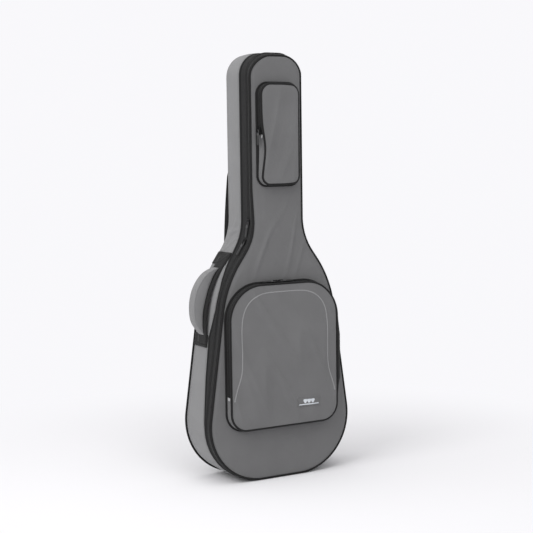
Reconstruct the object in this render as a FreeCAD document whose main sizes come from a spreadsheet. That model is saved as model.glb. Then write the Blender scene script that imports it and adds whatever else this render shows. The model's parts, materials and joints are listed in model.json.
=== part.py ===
"""Padded gig bag for a full-size classical guitar, standing on its flattened bottom.

Frame: +X to the bag's right as seen from the front, +Y towards its back, +Z up.
Origin: on the floor, under the middle of the padded shell. All sizes are in millimetres.
"""
import FreeCAD, Part
import Sketcher
import math
import os
from types import SimpleNamespace

V = FreeCAD.Vector

SIZES = (
    # The shell's outline, seen from the front.
    ("overall_height", 1080.0, "floor to the top of the neck"),
    ("overall_width", 410.0, "across the lower bout"),
    ("shell_depth", 134.0, "front face to back face of the shell"),
    ("base_flat", 112.0, "flat stretch of the bottom"),
    ("side_lean", 8.1, "degrees that the straight side leans in"),
    ("side_length", 267.0, "length of the straight side"),
    ("shoulder_radius", 285.0, "convex arc above the straight side"),
    ("shoulder_run", 23.0, "straight run between shoulder and waist"),
    ("waist_radius", 147.0, "concave arc into the neck"),
    ("neck_width", 146.0, "outside width of the neck"),
    ("top_radius", 58.0, "top corners of the neck"),
    # Padding, lining, piping and the main zip.
    ("wall_padding", 16.0, "thickness of the side gusset"),
    ("panel_padding", 18.0, "thickness of the front and back panels"),
    ("lining_thickness", 1.5, "inner lining sheets"),
    ("piping_size", 4.5, "edge piping, square section"),
    ("skin_setback", 1.2, "tape and piping lie this far inside the outline"),
    ("tape_thickness", 1.5, "woven zip tape"),
    ("tape_width", 22.5, "zip tape on the shell's side of the split"),
    ("lid_depth", 24.0, "front face to the split between lid and shell"),
    ("split_gap", 0.3, "clearance on each side of the split"),
    ("coil_width", 2.6, "one half of the main zip coil"),
    ("coil_thickness", 2.2, "through the coil"),
    ("zip_end_rise", 104.0, "foot of the neck to the end of the main zip"),
    # Inside the shell.
    ("end_block_depth", 18.0, "foam block on the bottom"),
    ("neck_rest_rise", 34.0, "foot of the neck to the foam neck rest"),
    ("neck_rest_length", 70.0, "along the neck"),
    ("neck_rest_depth", 30.0, "back lining to the front of the rest"),
    ("neck_groove_width", 56.0, "groove that takes the guitar's neck"),
    ("neck_groove_depth", 14.0, "depth of that groove"),
    ("neck_strap_width", 25.0, "hook and loop strap over the neck"),
    ("neck_strap_gap", 34.0, "neck rest to the strap"),
    ("neck_strap_thickness", 2.5, "of the strap"),
    # Front pocket.
    ("pocket_width", 322.0, "front pocket at its base"),
    ("pocket_bottom", 133.0, "height of its lower edge"),
    ("pocket_top", 507.0, "height of its upper edge"),
    ("pocket_top_radius", 95.0, "its upper corners"),
    ("pocket_bottom_radius", 50.0, "its lower corners"),
    ("pocket_zip_end", 225.0, "where its zip ends, and its flap folds"),
    ("pocket_depth", 25.0, "lid to the front of the pocket"),
    ("pocket_crown", 7.0, "how far the padded flap stands out"),
    ("pocket_crown_inset", 12.0, "from the flap's edge to the foot of the crown"),
    # Neck pocket.
    ("neck_pocket_width", 126.0, "neck pocket at its base"),
    ("neck_pocket_drop", 75.0, "top of the bag to its upper edge"),
    ("neck_pocket_length", 260.0, "upper edge to lower edge"),
    ("neck_pocket_top_radius", 33.0, "its upper corners"),
    ("neck_pocket_bottom_radius", 28.0, "its lower corners"),
    ("neck_pocket_zip_rise", 129.0, "its lower edge to its zip's end, where its flap folds"),
    ("neck_pocket_depth", 22.0, "lid to the front of the pocket"),
    ("neck_pocket_crown", 3.0, "how far its flap stands out"),
    ("neck_pocket_crown_inset", 8.0, "from the flap's edge to the foot of the crown"),
    # What both pockets share.
    ("pocket_piping", 4.0, "piping round a pocket"),
    ("pocket_wall", 2.0, "fabric and tape of a pocket's side wall"),
    ("pocket_face", 3.0, "padded fabric of a pocket's front"),
    ("pocket_coil", 2.0, "one half of a pocket's zip coil"),
    ("pocket_coil_height", 1.0, "coil above its tape"),
    ("fold_gap", 0.4, "clearance on each side of a pocket's fold"),
    ("crown_angle", 58.0, "degrees between the crown's flank and its height"),
    # Trim.
    ("line_inset", 25.0, "pocket edge to the reflective line, at the top"),
    ("line_side_inset", 36.0, "pocket edge to the reflective line, at the sides"),
    ("line_radius", 70.0, "corners of the reflective line"),
    ("line_end_height", 262.0, "where the straight part of the line starts"),
    ("line_width", 2.6, "width of the reflective line"),
    ("line_thickness", 0.6, "of the reflective line"),
    ("label_width", 68.0, "woven label on the pocket"),
    ("label_height", 25.0, "of the label"),
    ("label_thickness", 0.8, "of the label"),
    ("label_across", 66.0, "centre of the label, right of the middle"),
    ("label_up", 194.0, "centre of the label, above the floor"),
    # Sliders and pulls.
    ("slider_length", 14.0, "along the zip"),
    ("slider_width", 12.0, "across the zip"),
    ("slider_plate", 2.0, "thickness of the slider's plate"),
    ("slider_lift", 0.8, "plate above the coil"),
    ("bridge_length", 11.0, "arch that holds the pull"),
    ("bridge_width", 3.0, "across the arch"),
    ("bridge_rise", 4.0, "top of the arch above the plate"),
    ("bridge_bar", 1.3, "thickness of the arch"),
    ("eye_length", 10.0, "eye of the pull, from its pivot"),
    ("eye_width", 9.2, "across the eye"),
    ("eye_bar", 1.6, "bar of the eye"),
    ("eye_thickness", 1.4, "of the eye"),
    ("tab_length", 29.0, "grip tab of the pull"),
    ("tab_width", 9.0, "across the tab"),
    ("tab_thickness", 2.4, "of the tab"),
    ("upper_slider_drop", 10.0, "foot of the neck down to the upper main slider"),
    ("upper_slider_clear", 0.5, "its extra height over the zip, which starts to bend there"),
    ("lower_slider_turn", 24.0, "degrees round the waist arc to the lower main slider"),
    ("pull_tilt", 8.0, "degrees that a main pull leans out to clear the waist"),
    ("front_slider_left", -20.0, "left pocket slider, from the middle"),
    ("front_slider_right", -5.0, "right pocket slider, from the middle"),
    ("neck_slider_rise", 12.0, "neck pocket's fold to its slider"),
    # Side handle.
    ("handle_band_width", 38.0, "webbing bands and handle webbing"),
    ("handle_band_thickness", 2.0, "of the bands on the gusset"),
    ("handle_band_low", 358.0, "height of the lower band"),
    ("handle_foot_low", 372.0, "height where the handle leaves the side"),
    ("handle_foot_high", 540.0, "height where it comes back"),
    ("handle_lift", 4.0, "handle's swing line above the side"),
    ("handle_bow", 54.0, "swing line to the middle of the grip's outer face"),
    ("handle_grip_turn", 51.0, "degrees of grip each side of its middle"),
    ("handle_grip_width", 42.0, "across the half-moon grip"),
    ("handle_webbing_bow", 28.0, "swing line to the middle of the webbing under the grip"),
    ("handle_webbing_turn", 24.0, "degrees of webbing each side of its middle"),
    ("handle_webbing_thickness", 3.0, "of the handle's webbing"),
    # Shoulder straps.
    ("strap_top_across", 33.0, "strap's centre line at its top, from the middle"),
    ("strap_top_height", 818.0, "height of the strap's sewn end"),
    ("strap_foot_length", 22.0, "sewn foot of the strap"),
    ("strap_lean", 2.5, "degrees that a strap's pad runs outwards"),
    ("webbing_lean", 17.4, "degrees that its lower webbing runs outwards"),
    ("strap_pad_length", 388.0, "sewn end to the end of the pad, along the strap"),
    ("strap_pad_width", 60.0, "across the pad"),
    ("strap_pad_thickness", 10.0, "of the pad"),
    ("strap_pad_gap", 5.0, "back panel to the pad at its ends"),
    ("strap_bow", 12.0, "how far the pad bows out in its middle"),
    ("patch_thickness", 1.5, "sewn reinforcement patches"),
    ("top_patch_height", 46.0, "of the patch under the straps' sewn ends"),
    ("top_patch_width", 132.0, "of the patch under the straps' sewn ends"),
    ("lock_drop", 6.0, "end of the pad to the ladder lock"),
    ("lock_length", 26.0, "ladder lock, along the strap"),
    ("lock_width", 44.0, "across the ladder lock"),
    ("lock_thickness", 6.0, "of the ladder lock"),
    ("lock_slot", 4.5, "each slot of the ladder lock"),
    ("lock_bar", 4.0, "bars of the ladder lock"),
    ("webbing_width", 25.0, "lower webbing of a strap"),
    ("webbing_thickness", 2.0, "of that webbing"),
    ("webbing_length", 300.0, "ladder lock to the sewn foot"),
    ("webbing_foot", 22.0, "sewn foot of the lower webbing"),
    ("tab_patch_size", 40.0, "patch under the lower webbing's foot"),
)

DOC = FreeCAD.newDocument("gig_bag")


def make_sheet():
    """Write the driving dimensions into a spreadsheet and return their values by name."""
    sheet = DOC.addObject("Spreadsheet::Sheet", "Sizes")
    for row, (alias, value, note) in enumerate(SIZES, start=1):
        sheet.set("A%d" % row, alias)
        sheet.set("B%d" % row, str(value))
        sheet.set("C%d" % row, note)
        sheet.setAlias("B%d" % row, alias)
    DOC.recompute()
    return SimpleNamespace(**{alias: float(sheet.get(alias)) for alias, _, _ in SIZES})


D = make_sheet()

# Planes across the depth of the bag, as expressions of the sheet. Front is towards -Y.
FRONT = "(-Sizes.shell_depth / 2)"
BACK = "(Sizes.shell_depth / 2)"
LID_PIPING_REAR = "(%s + Sizes.piping_size)" % FRONT
LID_PAD_REAR = "(%s + Sizes.panel_padding)" % FRONT
LID_LINING_REAR = "(%s + Sizes.lining_thickness)" % LID_PAD_REAR
SPLIT = "(%s + Sizes.lid_depth)" % FRONT
LID_EDGE = "(%s - Sizes.split_gap)" % SPLIT
SHELL_EDGE = "(%s + Sizes.split_gap)" % SPLIT
LID_COIL_FRONT = "(%s - Sizes.coil_width)" % LID_EDGE
SHELL_COIL_REAR = "(%s + Sizes.coil_width)" % SHELL_EDGE
TAPE_REAR = "(%s + Sizes.tape_width)" % SPLIT
BACK_PAD_FRONT = "(%s - Sizes.panel_padding)" % BACK
BACK_PIPING_FRONT = "(%s - Sizes.piping_size)" % BACK
BACK_LINING_FRONT = "(%s - Sizes.lining_thickness)" % BACK_PAD_FRONT


# ---------------------------------------------------------------- outlines in the front view
# An outline is a list of runs, each ("line", start, end) or ("arc", centre, radius, from, to)
# with angles in degrees. It is walked anticlockwise, so the inside is on its left.

def line(start, end):
    return ("line", start, end)


def arc(centre, radius, start, end):
    return ("arc", centre, radius, start, end)


def polar(centre, radius, angle):
    """Point at an angle in degrees on a circle."""
    turn = math.radians(angle)
    return (centre[0] + radius * math.cos(turn), centre[1] + radius * math.sin(turn))


def inset_run(run, inset):
    """The same run, moved to its left by the inset."""
    if run[0] == "line":
        (x0, z0), (x1, z1) = run[1], run[2]
        length = math.hypot(x1 - x0, z1 - z0)
        dx = -(z1 - z0) / length * inset
        dz = (x1 - x0) / length * inset
        return line((x0 + dx, z0 + dz), (x1 + dx, z1 + dz))
    _, centre, radius, start, end = run
    turns_left = end > start
    return arc(centre, radius - inset if turns_left else radius + inset, start, end)


def run_ends(run):
    if run[0] == "line":
        return run[1], run[2]
    _, centre, radius, start, end = run
    return polar(centre, radius, start), polar(centre, radius, end)


def mirrored(runs):
    """The runs mirrored in the middle plane, walked so that the inside stays on the left."""
    result = []
    for run in reversed(runs):
        if run[0] == "line":
            result.append(line((-run[2][0], run[2][1]), (-run[1][0], run[1][1])))
        else:
            _, centre, radius, start, end = run
            result.append(arc((-centre[0], centre[1]), radius, 180 - end, 180 - start))
    return result


def inset_path(runs, inset):
    return [inset_run(run, inset) for run in runs]


def reversed_path(runs):
    result = []
    for run in reversed(runs):
        if run[0] == "line":
            result.append(line(run[2], run[1]))
        else:
            _, centre, radius, start, end = run
            result.append(arc(centre, radius, end, start))
    return result


def closed(runs):
    """The runs, with a straight line from their end back to their start."""
    return runs + [line(run_ends(runs[-1])[1], run_ends(runs[0])[0])]


def strip(runs, outer, inner):
    """Closed outline of the strip between two insets of an open path."""
    outside = inset_path(runs, outer)
    inside = reversed_path(inset_path(runs, inner))
    link = line(run_ends(outside[-1])[1], run_ends(inside[0])[0])
    return closed(outside + [link] + inside)


def ring(runs, outer, inner):
    """Outer and inner outlines of a ring between two insets of a closed path."""
    return [inset_path(runs, outer), inset_path(runs, inner)]


def polygon(points):
    return [line(points[i], points[(i + 1) % len(points)]) for i in range(len(points))]


# ---------------------------------------------------------------- the shell's outline

def shell_shape():
    """Centres, corners and paths of the shell's outline."""
    shape = SimpleNamespace()
    lean = math.radians(D.side_lean)
    shape.lower_radius = (D.overall_width - D.base_flat) / 2
    shape.lower_centre = (D.base_flat / 2, shape.lower_radius)
    shape.side_foot = polar(shape.lower_centre, shape.lower_radius, D.side_lean)
    shape.side_head = (shape.side_foot[0] - D.side_length * math.sin(lean),
                       shape.side_foot[1] + D.side_length * math.cos(lean))
    shape.shoulder_centre = (shape.side_head[0] - D.shoulder_radius * math.cos(lean),
                             shape.side_head[1] - D.shoulder_radius * math.sin(lean))
    # The shoulder turns as far as it takes for the waist to end at the neck's width.
    neck_half = D.neck_width / 2
    reach = D.shoulder_radius + D.waist_radius
    rest = D.shoulder_radius * math.cos(lean) + D.waist_radius - (shape.side_head[0] - neck_half)
    turn = math.acos(rest / math.hypot(reach, D.shoulder_run)) - math.atan2(D.shoulder_run, reach)
    shape.turn = math.degrees(turn)
    shape.shoulder_head = polar(shape.shoulder_centre, D.shoulder_radius, shape.turn)
    shape.waist_foot = (shape.shoulder_head[0] - D.shoulder_run * math.sin(turn),
                        shape.shoulder_head[1] + D.shoulder_run * math.cos(turn))
    shape.waist_centre = (shape.waist_foot[0] + D.waist_radius * math.cos(turn),
                          shape.waist_foot[1] + D.waist_radius * math.sin(turn))
    shape.neck_half = neck_half
    top = D.overall_height
    corner = (neck_half - D.top_radius, top - D.top_radius)
    lower = arc(shape.lower_centre, shape.lower_radius, -90, 0)
    bend = [arc(shape.lower_centre, shape.lower_radius, 0, D.side_lean),
            line(shape.side_foot, shape.side_head),
            arc(shape.shoulder_centre, D.shoulder_radius, D.side_lean, shape.turn),
            line(shape.shoulder_head, shape.waist_foot),
            arc(shape.waist_centre, D.waist_radius, 180 + shape.turn, 180)]
    neck_foot = (neck_half, shape.waist_centre[1])
    zip_end = (neck_half, shape.waist_centre[1] + D.zip_end_rise)
    neck_head = (neck_half, corner[1])
    # The lid's fabric hinge takes the right side, from the widest point up to the zip's end.
    shape.hinge_path = bend + [line(neck_foot, zip_end)]
    top_arc = arc(corner, D.top_radius, 0, 90)
    left = mirrored([lower] + bend + [line(neck_foot, neck_head), top_arc])
    shape.zip_path = ([line(zip_end, neck_head), top_arc, line((corner[0], top), (-corner[0], top))]
                      + left + [line((-D.base_flat / 2, 0), (D.base_flat / 2, 0)), lower])
    shape.outline = shape.hinge_path + shape.zip_path
    return shape


def pocket_shape(width, bottom, top, top_radius, bottom_radius, fold):
    """Paths of a pocket: the arch that its zip follows and the trough below its fold."""
    half = width / 2
    high = (half - top_radius, top - top_radius)
    low = (half - bottom_radius, bottom + bottom_radius)
    rise = [line((half, fold), (half, high[1])), arc(high, top_radius, 0, 90)]
    fall = [arc(low, bottom_radius, -90, 0), line((half, low[1]), (half, fold))]
    shape = SimpleNamespace(half=half, top=top, fold=fold)
    shape.arch = rise + [line((high[0], top), (-high[0], top))] + mirrored(rise)
    shape.trough = mirrored(fall) + [line((-low[0], bottom), (low[0], bottom))] + fall
    shape.outline = shape.arch + shape.trough
    return shape


SHELL = shell_shape()
FRONT_POCKET = pocket_shape(D.pocket_width, D.pocket_bottom, D.pocket_top, D.pocket_top_radius,
                            D.pocket_bottom_radius, D.pocket_zip_end)
NECK_POCKET_TOP = D.overall_height - D.neck_pocket_drop
NECK_POCKET_BOTTOM = NECK_POCKET_TOP - D.neck_pocket_length
NECK_POCKET = pocket_shape(D.neck_pocket_width, NECK_POCKET_BOTTOM, NECK_POCKET_TOP,
                           D.neck_pocket_top_radius, D.neck_pocket_bottom_radius,
                           NECK_POCKET_BOTTOM + D.neck_pocket_zip_rise)


# ---------------------------------------------------------------- bodies, sketches and features

PIECES = []


def add_piece(item, name):
    """Name a finished sub-part and list it for checking and writing."""
    item.Label = name
    PIECES.append(item)


def new_body(name):
    body = DOC.addObject("PartDesign::Body", name)
    add_piece(body, name)
    return body


def origin_plane(body, role):
    return [plane for plane in body.Origin.OriginFeatures if plane.Role == role][0]


def new_sketch(body, role, offsets):
    """Sketch on one of the body's planes, moved by expressions given per axis."""
    sketch = body.newObject("Sketcher::SketchObject", body.Name + "_sketch")
    sketch.AttachmentSupport = [(origin_plane(body, role), "")]
    sketch.MapMode = "FlatFace"
    for axis, expression in offsets.items():
        sketch.setExpression("AttachmentOffset.Base." + axis, expression)
    return sketch


def draw(sketch, outlines):
    """Draw closed outlines into a sketch."""
    for outline in outlines:
        for run in outline:
            if run[0] == "line":
                start, end = V(*run[1], 0), V(*run[2], 0)
                sketch.addGeometry(Part.LineSegment(start, end), False)
            else:
                _, centre, radius, start, end = run
                circle = Part.Circle(V(*centre, 0), V(0, 0, 1), radius)
                low, high = math.radians(min(start, end)), math.radians(max(start, end))
                sketch.addGeometry(Part.ArcOfCircle(circle, low, high), False)


def draw_rectangle(sketch, width, height):
    """Rectangle centred on the sketch's origin, its sides bound to two expressions."""
    corners = [V(-1, -1, 0), V(1, -1, 0), V(1, 1, 0), V(-1, 1, 0)]
    for i in range(4):
        sketch.addGeometry(Part.LineSegment(corners[i], corners[(i + 1) % 4]), False)
    for i in range(4):
        sketch.addConstraint(Sketcher.Constraint("Coincident", i, 2, (i + 1) % 4, 1))
        sketch.addConstraint(Sketcher.Constraint("Horizontal" if i % 2 == 0 else "Vertical", i))
    sketch.addConstraint(Sketcher.Constraint("Symmetric", 0, 1, 1, 2, -1, 1))
    for name, kind, edge, expression in (("wide", "DistanceX", 0, width),
                                         ("high", "DistanceY", 1, height)):
        index = sketch.addConstraint(Sketcher.Constraint(kind, edge, 1, edge, 2, 2.0))
        sketch.renameConstraint(index, name)
        sketch.setExpression("Constraints." + name, expression)


def add_feature(body, kind, sketch, length, reversed_side=False, taper=None):
    """Pad or Pocket of a sketch, its length bound to an expression."""
    feature = body.newObject("PartDesign::" + kind, body.Name + "_" + kind.lower())
    feature.Profile = sketch
    feature.setExpression("Length", length)
    feature.Reversed = reversed_side
    if taper is not None:
        feature.setExpression("TaperAngle", taper)
    sketch.Visibility = False
    body.Tip = feature
    return feature


def add_layer(body, outlines, rear, front, taper=None):
    """Pad outlines of the front view from the plane y = rear forwards to y = front."""
    sketch = new_sketch(body, "XZ_Plane", {"z": "-" + rear})
    draw(sketch, outlines)
    return add_feature(body, "Pad", sketch, "%s - %s" % (rear, front), taper=taper)


def layered(name, *layers):
    """A piece made of one or more layers, each (outlines, rear plane, front plane)."""
    body = new_body(name)
    for layer in layers:
        add_layer(body, *layer)
    return body


def local_axes(origin, x_axis, z_axis):
    """Placement that puts a piece's own x and z axes along two directions of the bag."""
    y_axis = z_axis.cross(x_axis)
    matrix = FreeCAD.Matrix(x_axis.x, y_axis.x, z_axis.x, origin.x,
                            x_axis.y, y_axis.y, z_axis.y, origin.y,
                            x_axis.z, y_axis.z, z_axis.z, origin.z,
                            0, 0, 0, 1)
    return FreeCAD.Placement(matrix)


# ---------------------------------------------------------------- the padded shell

def make_shell():
    tape_in = D.skin_setback + D.tape_thickness
    piping_in = D.skin_setback + D.piping_size
    coil_out = tape_in - D.coil_thickness
    layered("back_panel",
            ([SHELL.outline], BACK_PIPING_FRONT, BACK_PAD_FRONT),
            ([inset_path(SHELL.outline, piping_in)], BACK, BACK_PIPING_FRONT))
    layered("side_gusset",
            (ring(SHELL.outline, 0, D.wall_padding), BACK_PAD_FRONT, TAPE_REAR),
            (ring(SHELL.outline, tape_in, D.wall_padding), TAPE_REAR, SHELL_EDGE))
    layered("back_piping",
            (ring(SHELL.outline, D.skin_setback, piping_in), BACK, BACK_PIPING_FRONT))
    layered("main_zip_tape_shell",
            ([strip(SHELL.zip_path, D.skin_setback, tape_in)], TAPE_REAR, SHELL_COIL_REAR))
    layered("main_zip_coil_shell",
            ([strip(SHELL.zip_path, coil_out, tape_in)], SHELL_COIL_REAR, SHELL_EDGE))
    layered("hinge_strip_shell",
            ([strip(SHELL.hinge_path, D.skin_setback, tape_in)], TAPE_REAR, SHELL_EDGE))
    layered("back_lining",
            ([inset_path(SHELL.outline, D.wall_padding)], BACK_PAD_FRONT, BACK_LINING_FRONT))


def make_lid():
    tape_in = D.skin_setback + D.tape_thickness
    piping_in = D.skin_setback + D.piping_size
    coil_out = tape_in - D.coil_thickness
    layered("lid_panel",
            ([inset_path(SHELL.outline, piping_in)], LID_PIPING_REAR, FRONT),
            ([inset_path(SHELL.outline, tape_in)], LID_PAD_REAR, LID_PIPING_REAR))
    layered("lid_piping",
            (ring(SHELL.outline, D.skin_setback, piping_in), LID_PIPING_REAR, FRONT))
    layered("main_zip_tape_lid",
            ([strip(SHELL.zip_path, D.skin_setback, tape_in)], LID_COIL_FRONT, LID_PIPING_REAR))
    layered("main_zip_coil_lid",
            ([strip(SHELL.zip_path, coil_out, tape_in)], LID_EDGE, LID_COIL_FRONT))
    layered("hinge_strip_lid",
            ([strip(SHELL.hinge_path, D.skin_setback, tape_in)], LID_EDGE, LID_PIPING_REAR))
    layered("lid_lining",
            ([inset_path(SHELL.outline, D.wall_padding)], LID_LINING_REAR, LID_PAD_REAR))


def make_inner_pieces():
    """Foam end block, neck rest and neck strap, all between the gusset's inner faces."""
    rest_rear = BACK_LINING_FRONT
    rest_front = "(%s - Sizes.neck_rest_depth)" % rest_rear
    groove_front = "(%s + Sizes.neck_groove_depth)" % rest_front
    inner_radius = SHELL.lower_radius - D.wall_padding
    level = D.wall_padding + D.end_block_depth
    turn = math.degrees(math.asin((SHELL.lower_centre[1] - level) / inner_radius))
    side = arc(SHELL.lower_centre, inner_radius, -90, -turn)
    floor_half = D.base_flat / 2
    floor_line = line((-floor_half, D.wall_padding), (floor_half, D.wall_padding))
    block = closed(mirrored([side]) + [floor_line, side])
    layered("end_block", ([block], BACK_LINING_FRONT, SHELL_EDGE))

    half = SHELL.neck_half - D.wall_padding
    groove = D.neck_groove_width / 2
    low = SHELL.waist_centre[1] + D.neck_rest_rise
    high = low + D.neck_rest_length
    full = polygon([(-half, low), (half, low), (half, high), (-half, high)])
    left = polygon([(-half, low), (-groove, low), (-groove, high), (-half, high)])
    right = polygon([(groove, low), (half, low), (half, high), (groove, high)])
    layered("neck_rest", ([full], rest_rear, groove_front), ([left, right], groove_front, rest_front))

    strap_low = low + (D.neck_rest_length - D.neck_strap_width) / 2
    strap_high = strap_low + D.neck_strap_width
    strap = polygon([(-half, strap_low), (half, strap_low), (half, strap_high), (-half, strap_high)])
    strap_rear = "(%s - Sizes.neck_strap_gap)" % rest_front
    layered("neck_strap", ([strap], strap_rear, "(%s - Sizes.neck_strap_thickness)" % strap_rear))


# ---------------------------------------------------------------- the two pockets

def ends_moved(path, start_height, end_height):
    """The path with its first and last points, on upright lines, moved to new heights."""
    first, last = path[0], path[-1]
    first = line((first[1][0], start_height), first[2])
    last = line(last[1], (last[2][0], end_height))
    return [first] + path[1:-1] + [last]


def make_pocket(prefix, flap_prefix, pocket, depth, crown, crown_inset):
    """One zipped pocket: a fixed base and trough, and a flap that folds down at the zip's ends."""
    face = "(%s - Sizes.%s)" % (FRONT, depth)
    face_piping_rear = "(%s + Sizes.pocket_piping)" % face
    middle = "((%s + %s) / 2)" % (FRONT, face)
    base_tape_front = "(%s + Sizes.split_gap)" % middle
    flap_tape_rear = "(%s - Sizes.split_gap)" % middle
    base_coil_rear = "(%s + Sizes.pocket_coil)" % base_tape_front
    flap_coil_front = "(%s - Sizes.pocket_coil)" % flap_tape_rear
    base_piping_front = "(%s - Sizes.pocket_piping)" % FRONT
    panel_rear = "(%s + Sizes.pocket_face)" % face

    # Insets from the pocket's outline: base piping, then wall, then the face inside its piping.
    wall_out = D.pocket_piping
    wall_in = wall_out + D.pocket_wall
    coil_out = wall_out - D.pocket_coil_height
    panel_out = wall_out + D.pocket_piping
    above, below = pocket.fold + D.fold_gap, pocket.fold - D.fold_gap
    arch = ends_moved(pocket.arch, pocket.fold, pocket.fold)
    flap_arch = ends_moved(pocket.arch, above, above)
    trough = ends_moved(pocket.trough, below, below)

    layered(prefix + "_base_piping",
            (ring(pocket.outline, 0, D.pocket_piping), FRONT, base_piping_front))
    layered(prefix + "_gusset",
            ([strip(trough, wall_out, wall_in)], FRONT, face_piping_rear))
    layered(prefix + "_tape_base",
            ([strip(arch, wall_out, wall_in)], FRONT, base_coil_rear))
    layered(prefix + "_coil_base",
            ([strip(arch, coil_out, wall_in)], base_coil_rear, base_tape_front))
    layered(prefix + "_face",
            ([closed(inset_path(trough, panel_out))], panel_rear, face))
    layered(prefix + "_face_piping",
            ([strip(trough, wall_out, panel_out)], face_piping_rear, face))

    layered(flap_prefix + "_tape",
            ([strip(flap_arch, wall_out, wall_in)], flap_coil_front, face_piping_rear))
    layered(flap_prefix + "_coil",
            ([strip(flap_arch, coil_out, wall_in)], flap_tape_rear, flap_coil_front))
    layered(flap_prefix + "_piping",
            ([strip(flap_arch, wall_out, panel_out)], face_piping_rear, face))
    panel = closed(inset_path(flap_arch, panel_out))
    foot = inset_path(panel, crown_inset)
    foot_height = above + crown_inset
    foot = closed(ends_moved(foot[:-1], foot_height, foot_height))
    layered(flap_prefix + "_panel",
            ([panel], panel_rear, face),
            ([foot], face, "(%s - Sizes.%s)" % (face, crown), "-Sizes.crown_angle"))


def make_reflective_line():
    """Reflective line on the crown of the front pocket's flap."""
    crown = "(%s - Sizes.pocket_depth - Sizes.pocket_crown)" % FRONT
    half = FRONT_POCKET.half - D.line_side_inset
    top = FRONT_POCKET.top - D.line_inset
    corner = (half - D.line_radius, top - D.line_radius)
    rise = [line((half, D.line_end_height), (half, corner[1])), arc(corner, D.line_radius, 0, 90)]
    path = rise + [line((corner[0], top), (-corner[0], top))] + mirrored(rise)
    layered("reflective_line",
            ([strip(path, 0, D.line_width)], crown, "(%s - Sizes.line_thickness)" % crown))


def make_label():
    """Plain woven label on the fixed lower face of the front pocket."""
    face = "(%s - Sizes.pocket_depth)" % FRONT
    body = new_body("pocket_label")
    sketch = new_sketch(body, "XZ_Plane", {"x": "Sizes.label_across", "y": "Sizes.label_up",
                                           "z": "-" + face})
    draw_rectangle(sketch, "Sizes.label_width", "Sizes.label_height")
    add_feature(body, "Pad", sketch, "Sizes.label_thickness")


# ---------------------------------------------------------------- sliders and pulls

def make_slider(name, placement):
    """Zip slider: a plate over the coil, with an arch that holds the pull."""
    body = new_body(name)
    plate = new_sketch(body, "XY_Plane", {})
    draw_rectangle(plate, "Sizes.slider_length", "Sizes.slider_width")
    add_feature(body, "Pad", plate, "Sizes.slider_plate")
    half, low, high = D.bridge_length / 2, D.slider_plate, D.slider_plate + D.bridge_rise
    inner, ceiling = half - D.bridge_bar, high - D.bridge_bar
    arch = new_sketch(body, "XZ_Plane", {"z": "-Sizes.bridge_width / 2"})
    draw(arch, [polygon([(-half, low), (-inner, low), (-inner, ceiling), (inner, ceiling),
                         (inner, low), (half, low), (half, high), (-half, high)])])
    add_feature(body, "Pad", arch, "Sizes.bridge_width")
    body.Placement = placement
    return body


def make_pull(name, placement):
    """Zip pull: an eye whose cross bar turns under the slider's arch, and a grip tab."""
    body = new_body(name)
    eye = new_sketch(body, "XY_Plane", {"z": "-Sizes.eye_thickness / 2"})
    half_bar, half_width = D.eye_bar / 2, D.eye_width / 2
    arm = half_width - D.eye_bar
    outer = polygon([(-half_bar, -half_width), (D.eye_length, -half_width),
                     (D.eye_length, half_width), (-half_bar, half_width)])
    inner = polygon([(half_bar, -arm), (D.eye_length - D.eye_bar, -arm),
                     (D.eye_length - D.eye_bar, arm), (half_bar, arm)])
    draw(eye, [outer, inner])
    add_feature(body, "Pad", eye, "Sizes.eye_thickness")
    tab = new_sketch(body, "XY_Plane", {"x": "Sizes.eye_length - Sizes.eye_bar + Sizes.tab_length / 2",
                                        "z": "-Sizes.tab_thickness / 2"})
    draw_rectangle(tab, "Sizes.tab_length", "Sizes.tab_width")
    add_feature(body, "Pad", tab, "Sizes.tab_thickness")
    body.Placement = placement
    return body


def pivot_height():
    """Height of a pull's pivot above the underside of its slider's plate."""
    return D.slider_plate + (D.bridge_rise - D.bridge_bar) / 2


def slider_and_pull(slider_name, pull_name, surface, along, outward, tilt):
    """A slider on a zip and its pull, which lies along the zip, tipped outwards by the tilt."""
    base = surface + outward * D.slider_lift
    make_slider(slider_name, local_axes(base, along, outward))
    pivot = base + outward * pivot_height()
    turn = math.radians(tilt)
    pull_along = along * math.cos(turn) + outward * math.sin(turn)
    pull_outward = outward * math.cos(turn) - along * math.sin(turn)
    make_pull(pull_name, local_axes(pivot, pull_along, pull_outward))


def make_sliders():
    split = -D.shell_depth / 2 + D.lid_depth
    coil_proud = D.coil_thickness - D.tape_thickness - D.skin_setback
    left, up, down = V(-1, 0, 0), V(0, 0, 1), V(0, 0, -1)
    upper = V(-SHELL.neck_half, split, SHELL.waist_centre[1] - D.upper_slider_drop)
    slider_and_pull("main_slider_upper", "main_pull_upper",
                    upper + left * (coil_proud + D.upper_slider_clear),
                    down, left, D.pull_tilt)
    turn = math.radians(D.lower_slider_turn)
    outward = V(-math.cos(turn), 0, math.sin(turn))
    centre = V(-SHELL.waist_centre[0], split, SHELL.waist_centre[1])
    lower = centre - outward * D.waist_radius
    slider_and_pull("main_slider_lower", "main_pull_lower", lower + outward * coil_proud,
                    V(-math.sin(turn), 0, -math.cos(turn)), outward, D.pull_tilt)

    front = -D.shell_depth / 2
    pocket_split = front - D.pocket_depth / 2
    coil_top = D.pocket_top - D.pocket_piping + D.pocket_coil_height
    for side, across, along in (("left", D.front_slider_left, left),
                                ("right", D.front_slider_right, V(1, 0, 0))):
        slider_and_pull("front_slider_" + side, "front_pull_" + side,
                        V(across, pocket_split, coil_top), along, up, 0)
    neck_split = front - D.neck_pocket_depth / 2
    neck_wall = NECK_POCKET.half - D.pocket_piping + D.pocket_coil_height
    place = V(-neck_wall, neck_split, NECK_POCKET.fold + D.neck_slider_rise)
    slider_and_pull("neck_slider", "neck_pull", place, down, left, 0)


# ---------------------------------------------------------------- side handle

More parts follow.
